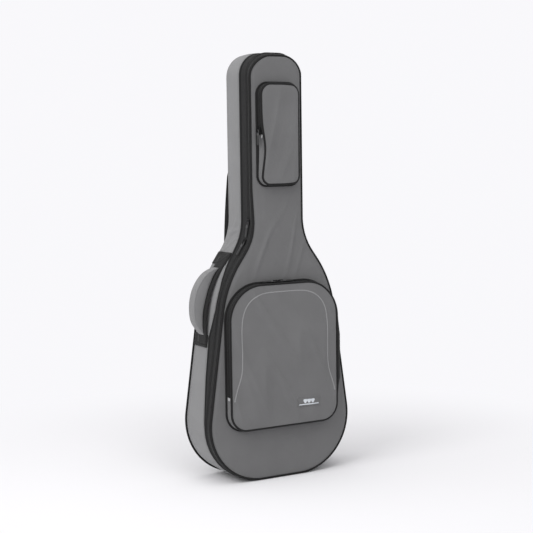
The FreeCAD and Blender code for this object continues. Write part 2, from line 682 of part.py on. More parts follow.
def make_handle_bands():
    """Two webbing bands sewn across the grey side, where the handle's ends are held."""
    half = D.handle_band_width / 2
    lean = math.radians(D.side_lean)
    low_x = SHELL.side_foot[0] - (D.handle_band_low - SHELL.side_foot[1]) * math.tan(lean)
    step = (half * math.sin(lean), half * math.cos(lean))
    low = line((low_x + step[0], D.handle_band_low - step[1]),
               (low_x - step[0], D.handle_band_low + step[1]))
    turn = math.radians(SHELL.turn)
    bend = math.degrees(half / D.shoulder_radius)
    head = SHELL.shoulder_head
    high = [arc(SHELL.shoulder_centre, D.shoulder_radius, SHELL.turn - bend, SHELL.turn),
            line(head, (head[0] - half * math.sin(turn), head[1] + half * math.cos(turn)))]
    for name, path in (("handle_band_lower", [low]), ("handle_band_upper", high)):
        layered(name, ([strip(mirrored(path), -D.handle_band_thickness, 0)],
                       BACK_PIPING_FRONT, TAPE_REAR))


def handle_line():
    """Foot of the handle's swing line, its length and its lean, on the left side."""
    lean = math.radians(D.side_lean)
    foot_x = SHELL.side_foot[0] - (D.handle_foot_low - SHELL.side_foot[1]) * math.tan(lean)
    rise = D.handle_foot_high - SHELL.shoulder_centre[1]
    head_x = SHELL.shoulder_centre[0] + math.sqrt(D.shoulder_radius ** 2 - rise ** 2)
    across, up = foot_x - head_x, D.handle_foot_high - D.handle_foot_low
    angle = math.atan2(across, up)
    foot = V(-foot_x, 0, D.handle_foot_low)
    foot += V(-math.cos(angle), 0, math.sin(angle)) * D.handle_lift
    return foot, math.hypot(across, up), math.degrees(angle)


def bow_arc(half_span, bow, offset, turn):
    """Arc whose line through the two feet bows out by the bow, moved outwards by the offset."""
    radius = (half_span ** 2 + bow ** 2) / (2 * bow)
    return arc((radius - bow, half_span), radius + offset, 180 - turn, 180 + turn)


def make_handle():
    """Carry handle: webbing bowed between its two ends, and a half-moon grip on its outside."""
    foot, span, lean = handle_line()
    half = span / 2
    face = D.handle_webbing_thickness / 2
    placement = FreeCAD.Placement(foot, FreeCAD.Rotation(V(0, 1, 0), lean))
    webbing_outer = bow_arc(half, D.handle_webbing_bow, face, D.handle_webbing_turn)
    webbing_inner = reversed_path([bow_arc(half, D.handle_webbing_bow, -face, D.handle_webbing_turn)])
    grip_outer = bow_arc(half, D.handle_bow, 0, D.handle_grip_turn)

    def between(outer, inner):
        return closed([outer, line(run_ends(outer)[1], run_ends(inner[0])[0])] + inner)

    for name, outline, width in (
            ("handle_webbing", between(webbing_outer, webbing_inner), "Sizes.handle_band_width"),
            ("handle_grip", between(grip_outer, reversed_path([webbing_outer])),
             "Sizes.handle_grip_width")):
        body = new_body(name)
        offset = "-((%s + %s) / 2 + %s / 2)" % (TAPE_REAR, BACK_PIPING_FRONT, width)
        sketch = new_sketch(body, "XZ_Plane", {"z": offset})
        draw(sketch, [outline])
        add_feature(body, "Pad", sketch, width)
        body.Placement = placement


# ---------------------------------------------------------------- shoulder straps

def strap_frame(side):
    """Placement of a strap: its own z axis runs up along it, from its sewn top end."""
    top = V(side * D.strap_top_across, 0, D.strap_top_height)
    return FreeCAD.Placement(top, FreeCAD.Rotation(V(0, 1, 0), -side * D.strap_lean))


def webbing_frame(side):
    """Placement of a strap's lower webbing, from the end of its pad."""
    pad = strap_frame(side)
    end = pad.multVec(V(0, 0, -D.strap_pad_length))
    return FreeCAD.Placement(end, FreeCAD.Rotation(V(0, 1, 0), -side * D.webbing_lean))


def side_profile(body, outline, width):
    """Pad an outline drawn in depth (y) and height (z), centred across the strap."""
    sketch = new_sketch(body, "YZ_Plane", {"z": "-%s / 2" % width})
    draw(sketch, [outline])
    return add_feature(body, "Pad", sketch, width)


def make_straps():
    back = D.shell_depth / 2
    seat = back + D.patch_thickness
    inner = back + D.strap_pad_gap
    outer = inner + D.strap_pad_thickness
    end = -D.strap_pad_length
    chord = D.strap_pad_length - D.strap_foot_length
    radius = (chord ** 2 / 4 + D.strap_bow ** 2) / (2 * D.strap_bow)
    turn = math.degrees(math.asin(chord / 2 / radius))
    middle = end + chord / 2

    def bowed(depth, start, finish):
        return arc((depth + D.strap_bow - radius, middle), radius, start, finish)

    pad = [bowed(outer, -turn, turn), line((outer, -D.strap_foot_length), (outer, 0)),
           line((outer, 0), (seat, 0)), line((seat, 0), (seat, -D.strap_foot_length)),
           line((seat, -D.strap_foot_length), (inner, -D.strap_foot_length)),
           bowed(inner, turn, -turn), line((inner, end), (outer, end))]

    lock_end = -D.lock_drop - D.lock_length
    foot_top = lock_end - D.webbing_length
    foot_end = foot_top - D.webbing_foot
    core = (inner + outer) / 2
    half = D.webbing_thickness / 2
    webbing = polygon([(seat, foot_end), (seat + D.webbing_thickness, foot_end),
                       (seat + D.webbing_thickness, foot_top), (core + half, lock_end),
                       (core - half, lock_end), (seat, foot_top)])
    for side, name in ((-1, "left"), (1, "right")):
        strap = new_body("shoulder_strap_" + name)
        side_profile(strap, pad, "Sizes.strap_pad_width")
        strap.Placement = strap_frame(side)
        lower = new_body("strap_webbing_" + name)
        side_profile(lower, webbing, "Sizes.webbing_width")
        lower.Placement = webbing_frame(side)
        make_ladder_lock("ladder_lock_" + name, core, side)
    make_tab_patches((foot_end + foot_top) / 2)
    make_top_patch()


def make_ladder_lock(name, core, side):
    """Ladder lock below the end of a strap's pad, with its two webbing slots."""
    body = new_body(name)
    rear = "-(%f + Sizes.lock_thickness / 2)" % core
    middle = "-(Sizes.lock_drop + Sizes.lock_length / 2)"
    frame = new_sketch(body, "XZ_Plane", {"y": middle, "z": rear})
    draw_rectangle(frame, "Sizes.lock_width", "Sizes.lock_length")
    add_feature(body, "Pad", frame, "Sizes.lock_thickness")
    for sign in ("-", "+"):
        centre = "%s %s (Sizes.lock_bar + Sizes.lock_slot) / 2" % (middle, sign)
        slot = new_sketch(body, "XZ_Plane", {"y": centre, "z": rear})
        draw_rectangle(slot, "Sizes.webbing_width + Sizes.lock_bar / 2", "Sizes.lock_slot")
        add_feature(body, "Pocket", slot, "Sizes.lock_thickness", reversed_side=True)
    body.Placement = webbing_frame(side)


def make_tab_patches(height):
    """Reinforcement patches under the sewn feet of the straps' lower webbing, as one group."""
    patches = []
    rear = "(%s + Sizes.patch_thickness)" % BACK
    for side, name in ((-1, "left"), (1, "right")):
        body = DOC.addObject("PartDesign::Body", "tab_patch_" + name)
        sketch = new_sketch(body, "XZ_Plane", {"y": str(height), "z": "-" + rear})
        draw_rectangle(sketch, "Sizes.tab_patch_size", "Sizes.tab_patch_size")
        add_feature(body, "Pad", sketch, "Sizes.patch_thickness")
        body.Placement = webbing_frame(side)
        patches.append(body)
    group = DOC.addObject("Part::Compound", "strap_tab_patches")
    group.Links = patches
    add_piece(group, "strap_tab_patches")


def make_top_patch():
    """Reinforcement patch under the sewn top ends of both straps."""
    body = new_body("strap_top_patch")
    rear = "(%s + Sizes.patch_thickness)" % BACK
    sketch = new_sketch(body, "XZ_Plane", {"y": "Sizes.strap_top_height - Sizes.strap_foot_length / 2",
                                           "z": "-" + rear})
    draw_rectangle(sketch, "Sizes.top_patch_width", "Sizes.top_patch_height")
    add_feature(body, "Pad", sketch, "Sizes.patch_thickness")


# ---------------------------------------------------------------- build, check and write

def check_document():
    """Stop if any object failed, or if a piece is empty or not a valid solid."""
    for item in DOC.Objects:
        if "Invalid" in item.State or "Error" in item.State:
            raise RuntimeError("%s failed: %s" % (item.Name, item.State))
    for piece in PIECES:
        if piece.Shape.isNull() or not piece.Shape.isValid() or not piece.Shape.Solids:
            raise RuntimeError("%s has no valid solid" % piece.Label)


def write_pieces():
    os.makedirs("parts", exist_ok=True)
    for piece in PIECES:
        piece.Shape.exportStep("parts/%s.step" % piece.Label)


make_shell()
make_lid()
make_inner_pieces()
make_pocket("front_pocket", "front_flap", FRONT_POCKET, "pocket_depth", "pocket_crown",
            D.pocket_crown_inset)
make_pocket("neck_pocket", "neck_flap", NECK_POCKET, "neck_pocket_depth", "neck_pocket_crown",
            D.neck_pocket_crown_inset)
make_reflective_line()
make_label()
make_sliders()
make_handle_bands()
make_handle()
make_straps()
DOC.recompute()
check_document()
write_pieces()
print("pieces:", len(PIECES))
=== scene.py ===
import json
import math

import bmesh
import bpy
import numpy as np
from mathutils import Matrix, Quaternion, Vector, noise
from mathutils.bvhtree import BVHTree
from mathutils.kdtree import KDTree

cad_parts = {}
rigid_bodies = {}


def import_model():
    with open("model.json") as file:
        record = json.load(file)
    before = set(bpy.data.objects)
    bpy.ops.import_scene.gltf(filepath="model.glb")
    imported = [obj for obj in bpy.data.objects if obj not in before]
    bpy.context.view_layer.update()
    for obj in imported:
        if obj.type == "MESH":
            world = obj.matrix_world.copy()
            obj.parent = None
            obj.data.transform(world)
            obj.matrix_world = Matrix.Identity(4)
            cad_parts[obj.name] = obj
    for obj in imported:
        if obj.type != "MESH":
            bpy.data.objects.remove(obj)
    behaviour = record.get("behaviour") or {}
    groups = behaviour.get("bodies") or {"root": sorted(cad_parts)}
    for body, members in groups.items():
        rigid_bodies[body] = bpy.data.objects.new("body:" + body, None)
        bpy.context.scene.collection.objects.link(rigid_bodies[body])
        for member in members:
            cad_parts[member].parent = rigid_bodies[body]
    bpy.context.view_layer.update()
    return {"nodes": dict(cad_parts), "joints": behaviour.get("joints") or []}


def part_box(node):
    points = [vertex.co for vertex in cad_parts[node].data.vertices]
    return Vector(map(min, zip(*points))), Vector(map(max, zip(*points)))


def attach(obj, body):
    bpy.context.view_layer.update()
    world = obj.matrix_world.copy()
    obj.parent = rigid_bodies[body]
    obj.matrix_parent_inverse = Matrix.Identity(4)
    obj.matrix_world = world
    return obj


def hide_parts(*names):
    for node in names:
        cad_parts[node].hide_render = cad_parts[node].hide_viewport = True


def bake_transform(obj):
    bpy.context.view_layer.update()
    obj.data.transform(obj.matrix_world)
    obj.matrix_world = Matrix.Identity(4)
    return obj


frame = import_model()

# ------------------------------------------------------------------ sizes, in metres
# The outline repeats the bag's driving dimensions; the rest is read from the frame.
SHELL_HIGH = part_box("back_panel")[1]
HEIGHT = SHELL_HIGH.z
HALF_WIDTH = SHELL_HIGH.x
BASE_HALF = 0.056
SIDE_LEAN = math.radians(8.1)
SIDE_LENGTH = 0.267
SHOULDER_RADIUS = 0.285
SHOULDER_RUN = 0.023
WAIST_RADIUS = 0.147
NECK_HALF = 0.073
TOP_RADIUS = 0.058
WALL = 0.016

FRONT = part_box("lid_panel")[0].y
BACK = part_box("back_panel")[1].y
LID_PIPING_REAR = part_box("lid_piping")[1].y
LID_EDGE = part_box("main_zip_coil_lid")[1].y
SHELL_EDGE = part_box("main_zip_coil_shell")[0].y
TAPE_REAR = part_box("main_zip_tape_shell")[1].y
BACK_PIPING_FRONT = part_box("back_piping")[0].y
BACK_PAD_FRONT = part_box("back_panel")[0].y
ZIP_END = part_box("hinge_strip_shell")[1].z

FACETS = 0.004          # spacing of points along an outline
GROUND = 0.0003         # soft pieces are pressed flat this far above the floor


# ------------------------------------------------------------------ outlines in the front view
# Runs are ("line", start, end) or ("arc", centre, radius, from, to), walked anticlockwise,
# so the outside is on their right.

def polar(centre, radius, angle):
    return (centre[0] + radius * math.cos(angle), centre[1] + radius * math.sin(angle))


def shell_runs():
    """Right-hand half of the shell's outline from the bottom up, its key points, and both paths."""
    lower_radius = HALF_WIDTH - BASE_HALF
    lower = (BASE_HALF, lower_radius)
    foot = polar(lower, lower_radius, SIDE_LEAN)
    head = (foot[0] - SIDE_LENGTH * math.sin(SIDE_LEAN), foot[1] + SIDE_LENGTH * math.cos(SIDE_LEAN))
    shoulder = (head[0] - SHOULDER_RADIUS * math.cos(SIDE_LEAN),
                head[1] - SHOULDER_RADIUS * math.sin(SIDE_LEAN))
    reach = SHOULDER_RADIUS + WAIST_RADIUS
    rest = SHOULDER_RADIUS * math.cos(SIDE_LEAN) + WAIST_RADIUS - (head[0] - NECK_HALF)
    turn = math.acos(rest / math.hypot(reach, SHOULDER_RUN)) - math.atan2(SHOULDER_RUN, reach)
    shoulder_head = polar(shoulder, SHOULDER_RADIUS, turn)
    waist_foot = (shoulder_head[0] - SHOULDER_RUN * math.sin(turn),
                  shoulder_head[1] + SHOULDER_RUN * math.cos(turn))
    waist = (waist_foot[0] + WAIST_RADIUS * math.cos(turn), waist_foot[1] + WAIST_RADIUS * math.sin(turn))
    corner = (NECK_HALF - TOP_RADIUS, HEIGHT - TOP_RADIUS)
    low = ("arc", lower, lower_radius, -math.pi / 2, 0)
    bend = [("arc", lower, lower_radius, 0, SIDE_LEAN), ("line", foot, head),
            ("arc", shoulder, SHOULDER_RADIUS, SIDE_LEAN, turn), ("line", shoulder_head, waist_foot),
            ("arc", waist, WAIST_RADIUS, math.pi + turn, math.pi)]
    neck_foot = (NECK_HALF, waist[1])
    zip_end = (NECK_HALF, ZIP_END)
    neck_head = (NECK_HALF, corner[1])
    top = ("arc", corner, TOP_RADIUS, 0, math.pi / 2)
    hinge = bend + [("line", neck_foot, zip_end)]
    left = mirrored([low] + bend + [("line", neck_foot, neck_head), top])
    bottom = ("line", (-BASE_HALF, 0), (BASE_HALF, 0))
    zipper = ([("line", zip_end, neck_head), top, ("line", (corner[0], HEIGHT), (-corner[0], HEIGHT))]
              + left + [bottom, low])
    return {"hinge": hinge, "zip": zipper, "all": hinge + zipper, "foot": foot, "head": head,
            "shoulder": shoulder, "waist": waist, "turn": turn, "shoulder_head": shoulder_head}


def mirrored(runs):
    result = []
    for run in reversed(runs):
        if run[0] == "line":
            result.append(("line", (-run[2][0], run[2][1]), (-run[1][0], run[1][1])))
        else:
            _, centre, radius, start, end = run
            result.append(("arc", (-centre[0], centre[1]), radius, math.pi - end, math.pi - start))
    return result


def pocket_runs(half, bottom, top, top_radius, bottom_radius, fold):
    """A pocket's arch above its fold and trough below it."""
    high = (half - top_radius, top - top_radius)
    low = (half - bottom_radius, bottom + bottom_radius)
    rise = [("line", (half, fold), (half, high[1])), ("arc", high, top_radius, 0, math.pi / 2)]
    fall = [("arc", low, bottom_radius, -math.pi / 2, 0), ("line", (half, low[1]), (half, fold))]
    arch = rise + [("line", (high[0], top), (-high[0], top))] + mirrored(rise)
    trough = mirrored(fall) + [("line", (-low[0], bottom), (low[0], bottom))] + fall
    return {"arch": arch, "trough": trough, "all": arch + trough, "half": half, "fold": fold,
            "top": top, "bottom": bottom}


def sample(runs, step=FACETS, loop=False):
    """Points along the runs and the outward normal at each, as two arrays."""
    points, normals = [], []
    for index, run in enumerate(runs):
        if run[0] == "line":
            start, end = np.array(run[1]), np.array(run[2])
            length = np.linalg.norm(end - start)
            count = max(1, int(round(length / step)))
            share = np.arange(count + 1) / count
            pts = start + np.outer(share, end - start)
            nrm = np.tile(np.array([end[1] - start[1], start[0] - end[0]]) / length, (count + 1, 1))
        else:
            _, centre, radius, a0, a1 = run
            count = max(3, int(round(abs(a1 - a0) * radius / step)))
            angles = np.linspace(a0, a1, count + 1)
            ray = np.stack([np.cos(angles), np.sin(angles)], 1)
            pts = np.array(centre) + ray * radius
            nrm = ray if a1 > a0 else -ray
        last = index == len(runs) - 1
        keep = len(pts) if last and not loop else len(pts) - 1
        points.append(pts[:keep])
        normals.append(nrm[:keep])
    return np.concatenate(points), np.concatenate(normals)


SHELL = shell_runs()
FP_LOW, FP_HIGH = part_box("front_pocket_base_piping")
NP_LOW, NP_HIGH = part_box("neck_pocket_base_piping")
FRONT_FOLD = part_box("front_pocket_tape_base")[0].z
NECK_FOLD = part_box("neck_pocket_tape_base")[0].z
FRONT_POCKET = pocket_runs(FP_HIGH.x, FP_LOW.z, FP_HIGH.z, 0.095, 0.050, FRONT_FOLD)
NECK_POCKET = pocket_runs(NP_HIGH.x, NP_LOW.z, NP_HIGH.z, 0.033, 0.028, NECK_FOLD)


# ------------------------------------------------------------------ materials

def linear(value):
    """A display value from 0 to 255 as a linear one."""
    share = value / 255
    return share / 12.92 if share <= 0.04045 else ((share + 0.055) / 1.055) ** 2.4


def grey(value, tint=(1, 1, 1.012)):
    return tuple(linear(value) * t for t in tint) + (1,)


class Nodes:
    """Short calls for building a material's node tree."""

    def __init__(self, name):
        self.material = bpy.data.materials.new(name)
        self.material.use_nodes = True
        self.tree = self.material.node_tree
        self.shader = self.tree.nodes["Principled BSDF"]

    def add(self, kind, **values):
        node = self.tree.nodes.new(kind)
        for key, value in values.items():
            setattr(node, key, value)
        return node

    def link(self, output, socket):
        self.tree.links.new(output, socket)

    def math(self, operation, first, second=None):
        node = self.add("ShaderNodeMath", operation=operation)
        for socket, value in zip(node.inputs, (first, second)):
            if value is None:
                continue
            if isinstance(value, (int, float)):
                socket.default_value = value
            else:
                self.link(value, socket)
        return node.outputs[0]

    def noise(self, coordinates, scale, detail=2.0, stretch=None):
        if stretch:
            mapping = self.add("ShaderNodeMapping")
            mapping.inputs["Scale"].default_value = stretch
            self.link(coordinates, mapping.inputs["Vector"])
            coordinates = mapping.outputs[0]
        node = self.add("ShaderNodeTexNoise")
        node.inputs["Scale"].default_value = scale
        node.inputs["Detail"].default_value = detail
        self.link(coordinates, node.inputs["Vector"])
        return node.outputs["Fac"]

    def ramp(self, value, dark, light, low=0.3, high=0.7):
        node = self.add("ShaderNodeValToRGB")
        node.color_ramp.elements[0].position = low
        node.color_ramp.elements[1].position = high
        node.color_ramp.elements[0].color = dark
        node.color_ramp.elements[1].color = light
        self.link(value, node.inputs[0])
        return node.outputs[0]

    def coordinates(self):
        return self.add("ShaderNodeTexCoord").outputs["Object"]

    def roughness(self, value, low, high):
        """Let the roughness follow a value, from low to high."""
        node = self.add("ShaderNodeMapRange")
        node.inputs["To Min"].default_value = low
        node.inputs["To Max"].default_value = high
        self.link(value, node.inputs["Value"])
        self.link(node.outputs[0], self.shader.inputs["Roughness"])

    def bump(self, heights):
        """Chain of bumps, each (height, strength, distance)."""
        normal = None
        for height, strength, distance in heights:
            node = self.add("ShaderNodeBump")
            node.inputs["Strength"].default_value = strength
            node.inputs["Distance"].default_value = distance
            self.link(height, node.inputs["Height"])
            if normal:
                self.link(normal, node.inputs["Normal"])
            normal = node.outputs[0]
        self.link(normal, self.shader.inputs["Normal"])


def mixed(colour, factor):
    return tuple(min(1, c * factor) for c in colour[:3]) + (1,)


def cloth(name, colour, pitch=0.0011, weave_depth=0.00012, roughness=0.86, sheen=0.25, contrast=0.16,
          ribs=None):
    """Woven fabric: a plain weave of the given pitch, with mottled yarn colour and slight soiling."""
    n = Nodes(name)
    coords = n.coordinates()
    split = n.add("ShaderNodeSeparateXYZ")
    n.link(coords, split.inputs[0])
    across = n.math("ADD", split.outputs[0], split.outputs[1])
    turns = 2 * math.pi / pitch
    warp = n.math("SINE", n.math("MULTIPLY", across, turns))
    weft = n.math("SINE", n.math("MULTIPLY", split.outputs[2], turns))
    weave = n.math("MULTIPLY", warp, weft)
    yarn = n.noise(coords, 900.0, 2.0)
    patches = n.noise(coords, 14.0, 4.0)
    speckle = n.math("ADD", n.math("MULTIPLY", yarn, 0.55), n.math("MULTIPLY", patches, 0.45))
    n.link(n.ramp(speckle, mixed(colour, 1 - contrast), mixed(colour, 1 + contrast)),
           n.shader.inputs["Base Color"])
    n.roughness(patches, roughness - 0.06, min(1.0, roughness + 0.06))
    n.shader.inputs["Sheen Weight"].default_value = sheen
    n.shader.inputs["Sheen Roughness"].default_value = 0.45
    n.shader.inputs["Specular IOR Level"].default_value = 0.25
    heights = [(patches, 0.25, 0.0012), (weave, 0.6, weave_depth)]
    if ribs:
        axis, rib_pitch, depth = ribs
        rib = n.math("SINE", n.math("MULTIPLY", split.outputs[axis], 2 * math.pi / rib_pitch))
        heights.append((rib, 0.7, depth))
    n.bump(heights)
    return n.material


def plastic(name, colour, roughness=0.42, grain=900.0, depth=0.00004):
    """Moulded plastic or rubber with a fine grain and rubbed patches."""
    n = Nodes(name)
    coords = n.coordinates()
    fine = n.noise(coords, grain, 3.0)
    wear = n.noise(coords, 60.0, 4.0)
    n.link(n.ramp(wear, mixed(colour, 0.88), mixed(colour, 1.2)), n.shader.inputs["Base Color"])
    n.roughness(wear, roughness - 0.1, roughness + 0.12)
    n.bump([(fine, 0.5, depth)])
    return n.material


def metal(name, colour, roughness=0.34):
    """Lacquered die-cast metal, rubbed brighter in places."""
    n = Nodes(name)
    coords = n.coordinates()
    wear = n.noise(coords, 220.0, 5.0)
    n.link(n.ramp(wear, mixed(colour, 0.8), mixed(colour, 1.7), 0.4, 0.75),
           n.shader.inputs["Base Color"])
    n.roughness(wear, roughness - 0.08, roughness + 0.16)
    n.shader.inputs["Metallic"].default_value = 0.75
    n.bump([(wear, 0.2, 0.00003)])
    return n.material


MATERIALS = {
    "panel": cloth("panel_fabric", grey(106), contrast=0.10),
    "side": cloth("side_fabric", grey(128), contrast=0.10),
    "piping": cloth("piping_fabric", grey(25), pitch=0.0009, contrast=0.2, sheen=0.08),
    "tape": cloth("tape_fabric", grey(31), pitch=0.0008, contrast=0.2, sheen=0.06,
                  ribs=(1, 0.0016, 0.00015)),
    "binding": cloth("binding_fabric", grey(25), pitch=0.0009, contrast=0.18, sheen=0.1),
    "coil": plastic("coil_nylon", grey(17), roughness=0.5),
    "lining": cloth("lining_fabric", grey(44), pitch=0.0014, contrast=0.22, sheen=0.5),
    "foam": cloth("foam_cover", grey(50), pitch=0.0016, contrast=0.2, sheen=0.5),
    "webbing": cloth("webbing_fabric", grey(30), pitch=0.0012, contrast=0.22, sheen=0.1,
                     ribs=(2, 0.0024, 0.00025)),
    "strap": cloth("strap_fabric", grey(44), contrast=0.18),
    "mesh": cloth("strap_mesh", grey(40), pitch=0.003, weave_depth=0.0005, contrast=0.25),
    "line": cloth("reflective_trim", grey(136), pitch=0.0007, roughness=0.5, contrast=0.08),
    "label": cloth("label_weave", grey(104), pitch=0.0007, contrast=0.06),
    "tack": plastic("tack_thread", grey(196), roughness=0.6),
    "label_mark": cloth("label_mark", grey(206, (0.95, 1.0, 1.06)), pitch=0.0007, contrast=0.06),
    "thread": plastic("stitch_thread", grey(70), roughness=0.6),
    "dark_thread": plastic("dark_thread", grey(34), roughness=0.6),
    "buckle": plastic("buckle_plastic", grey(36)),
    "metal": metal("slider_metal", grey(34)),
    "bright": metal("pull_metal", grey(92), roughness=0.3),
    "rubber": plastic("pull_rubber", grey(48), roughness=0.55),
}


# ------------------------------------------------------------------ meshes

def scene_object(name, data):
    obj = bpy.data.objects.new(name, data)
    bpy.context.scene.collection.objects.link(obj)
    return obj


def new_object(name, vertices, faces, materials, indices=None, smooth=True):
    mesh = bpy.data.meshes.new(name)
    mesh.from_pydata([tuple(v) for v in vertices], [], [tuple(f) for f in faces])
    for key in materials:
        mesh.materials.append(MATERIALS[key])
    if indices is not None:
        mesh.polygons.foreach_set("material_index", np.asarray(indices, np.int32))
    mesh.polygons.foreach_set("use_smooth", np.full(len(mesh.polygons), smooth))
    mesh.update()
    return scene_object(name, mesh)


def fix_normals(obj):
    """Turn every face outwards."""
    work = bmesh.new()
    work.from_mesh(obj.data)
    bmesh.ops.recalc_face_normals(work, faces=work.faces)
    work.to_mesh(obj.data)
    work.free()
    return obj


def ring_faces(count, sides, loop=False, caps=True):
    """Faces that join rings of points one after another, with a cap at each open end."""
    faces = []
    for k in range(count if loop else count - 1):
        after = (k + 1) % count
        for j in range(sides):
            beside = (j + 1) % sides
            faces.append((k * sides + j, k * sides + beside, after * sides + beside, after * sides + j))
    if caps and not loop:
        faces.append(tuple(range(sides)))
        faces.append(tuple((count - 1) * sides + j for j in reversed(range(sides))))
    return faces


def sheet_faces(rows, cols):
    """Faces of a closed sheet of two layers of points: both layers by turns, then the rim."""
    size = rows * cols
    faces = []
    for j in range(rows - 1):
        for i in range(cols - 1):
            a = j * cols + i
            quad = (a, a + 1, a + cols + 1, a + cols)
            faces.append(quad)
            faces.append(tuple(size + v for v in reversed(quad)))
    rim = (list(range(cols)) + [j * cols + cols - 1 for j in range(1, rows)]
           + [(rows - 1) * cols + i for i in range(cols - 2, -1, -1)]
           + [j * cols for j in range(rows - 2, 0, -1)])
    for a, b in zip(rim, rim[1:] + rim[:1]):
        faces.append((b, a, size + a, size + b))
    return faces


def read_points(obj):
    return np.array([v.co for v in obj.data.vertices])


def write_points(obj, points):
    obj.data.vertices.foreach_set("co", points.ravel())
    obj.data.update()


def sweep(name, path, profile, materials, loop=True, face_materials=None, shape=None):
    """Carry a closed profile of (outward, y) points along a path of points and normals."""
    points, normals = path
    profile = np.asarray(profile, float)
    count, sides = len(points), len(profile)
    grid = np.zeros((count, sides, 3))
    reach = np.repeat(profile[None, :, 0], count, 0)
    depth = np.repeat(profile[None, :, 1], count, 0)
    if shape:
        reach, depth = shape(points, reach, depth)
    grid[:, :, 0] = points[:, None, 0] + normals[:, None, 0] * reach
    grid[:, :, 2] = points[:, None, 1] + normals[:, None, 1] * reach
    grid[:, :, 1] = depth
    grid[:, :, 2] = np.maximum(grid[:, :, 2], GROUND)
    faces = ring_faces(count, sides, loop)
    indices = (face_materials or [0] * sides) * (count if loop else count - 1)
    indices += [0] * (len(faces) - len(indices))
    return fix_normals(new_object(name, grid.reshape(-1, 3), faces, materials, indices))


def round_profile(out, y, radius, sides=8):
    return [polar((out, y), radius, 2 * math.pi * k / sides) for k in range(sides)]


def slab_profile(out, thickness, y0, y1, steps=8, belly=0.0, edge=0.0008):
    """Closed profile of a strip of fabric: outer face at out, with rounded edges and a belly."""
    ys = np.linspace(y0, y1, steps + 1)
    share = (ys - y0) / (y1 - y0)
    outer = out + belly * np.sin(math.pi * share)
    outer[0] -= edge
    outer[-1] -= edge
    inner = np.full(steps + 1, out - thickness)
    return list(zip(outer, ys)) + list(zip(inner[::-1], ys[::-1]))


def ripple(x, y, z, scale, seed=0.0):
    """Smooth noise from -1 to 1 at each point of equal-shaped arrays."""
    flat = [noise.noise(Vector((a * scale + seed, b * scale - seed, c * scale + 2 * seed)))
            for a, b, c in zip(np.ravel(x), np.ravel(y), np.ravel(z))]
    return np.array(flat).reshape(np.shape(x))


def inset_outline(runs, inset, step=0.0015):
    """Points of a closed outline drawn in by an inset."""
    points, normals = sample(runs, step, loop=True)
    return points - normals * inset


def edge_distance(runs, inset, x, z):
    """How far each point of two equal-shaped arrays is from an inset outline."""
    border = inset_outline(runs, inset, 0.002)
    tree = KDTree(len(border))
    for i, point in enumerate(border):
        tree.insert((point[0], 0, point[1]), i)
    tree.balance()
    far = [tree.find((a, 0, b))[2] for a, b in zip(x.ravel(), z.ravel())]
    return np.array(far).reshape(x.shape)


def half_width(runs, inset):
    """Function giving half the width of a symmetrical outline at each height, and its two ends."""
    points = inset_outline(runs, inset)
    right = points[points[:, 0] >= 0]
    order = np.argsort(right[:, 1])
    heights, halves = right[order, 1], right[order, 0]
    return lambda z: np.interp(z, heights, halves), heights[0], heights[-1]


def side_heights(runs, inset, step):
    """Heights of points evenly spaced along the right side of an outline, bottom to top."""
    points = inset_outline(runs, inset)
    right = points[points[:, 0] >= 0]
    right = right[np.argsort(right[:, 1], kind="stable")]
    lengths = np.concatenate([[0], np.cumsum(np.hypot(*np.diff(right, axis=0).T))])
    count = int(lengths[-1] / step)
    heights = np.interp(np.linspace(0, lengths[-1], count + 1), lengths, right[:, 1])
    return np.unique(np.round(heights, 6))


def panel(name, runs, inset, rear, front, materials, step=0.007, columns=52, edge=0.003, crown=0.0,
          crown_reach=0.05, relief=None, outward=-1, rear_relief=None):
    """Closed padded sheet inside an outline. Its outer face rolls in at the edge and is crowned.

    outward is -1 for a face that looks towards the front and +1 for one that looks to the back."""
    width, low, high = half_width(runs, inset)
    heights = side_heights(runs, inset, step)
    heights = heights[(heights > low + 1e-5) & (heights < high - 1e-5)]
    heights = np.concatenate([[low], heights, [high]])
    share = np.linspace(-1, 1, columns + 1)
    share = 0.72 * share + 0.28 * np.sin(share * math.pi / 2)
    z = np.repeat(heights[:, None], columns + 1, 1)
    x = width(heights)[:, None] * share[None, :]
    far = edge_distance(runs, inset, x, z)
    rise = edge * (1 - np.exp(-far / 0.004)) - edge + crown * (1 - np.exp(-far / crown_reach))
    if relief is not None:
        rise = rise + relief(x, z, far)
    y_outer = front + outward * rise
    y_inner = np.full_like(x, rear)
    if rear_relief is not None:
        y_inner = y_inner - outward * rear_relief(x, z, far)
    rows, cols = x.shape
    outer = np.stack([x, y_outer, z], 2).reshape(-1, 3)
    inner = np.stack([x, y_inner, z], 2).reshape(-1, 3)
    vertices = np.concatenate([outer, inner])
    faces = sheet_faces(rows, cols)
    indices = [0, len(materials) - 1] * ((rows - 1) * (cols - 1))
    indices += [0] * (len(faces) - len(indices))
    obj = fix_normals(new_object(name, vertices, faces, materials, indices))
    obj["outer"] = rows * cols
    return obj


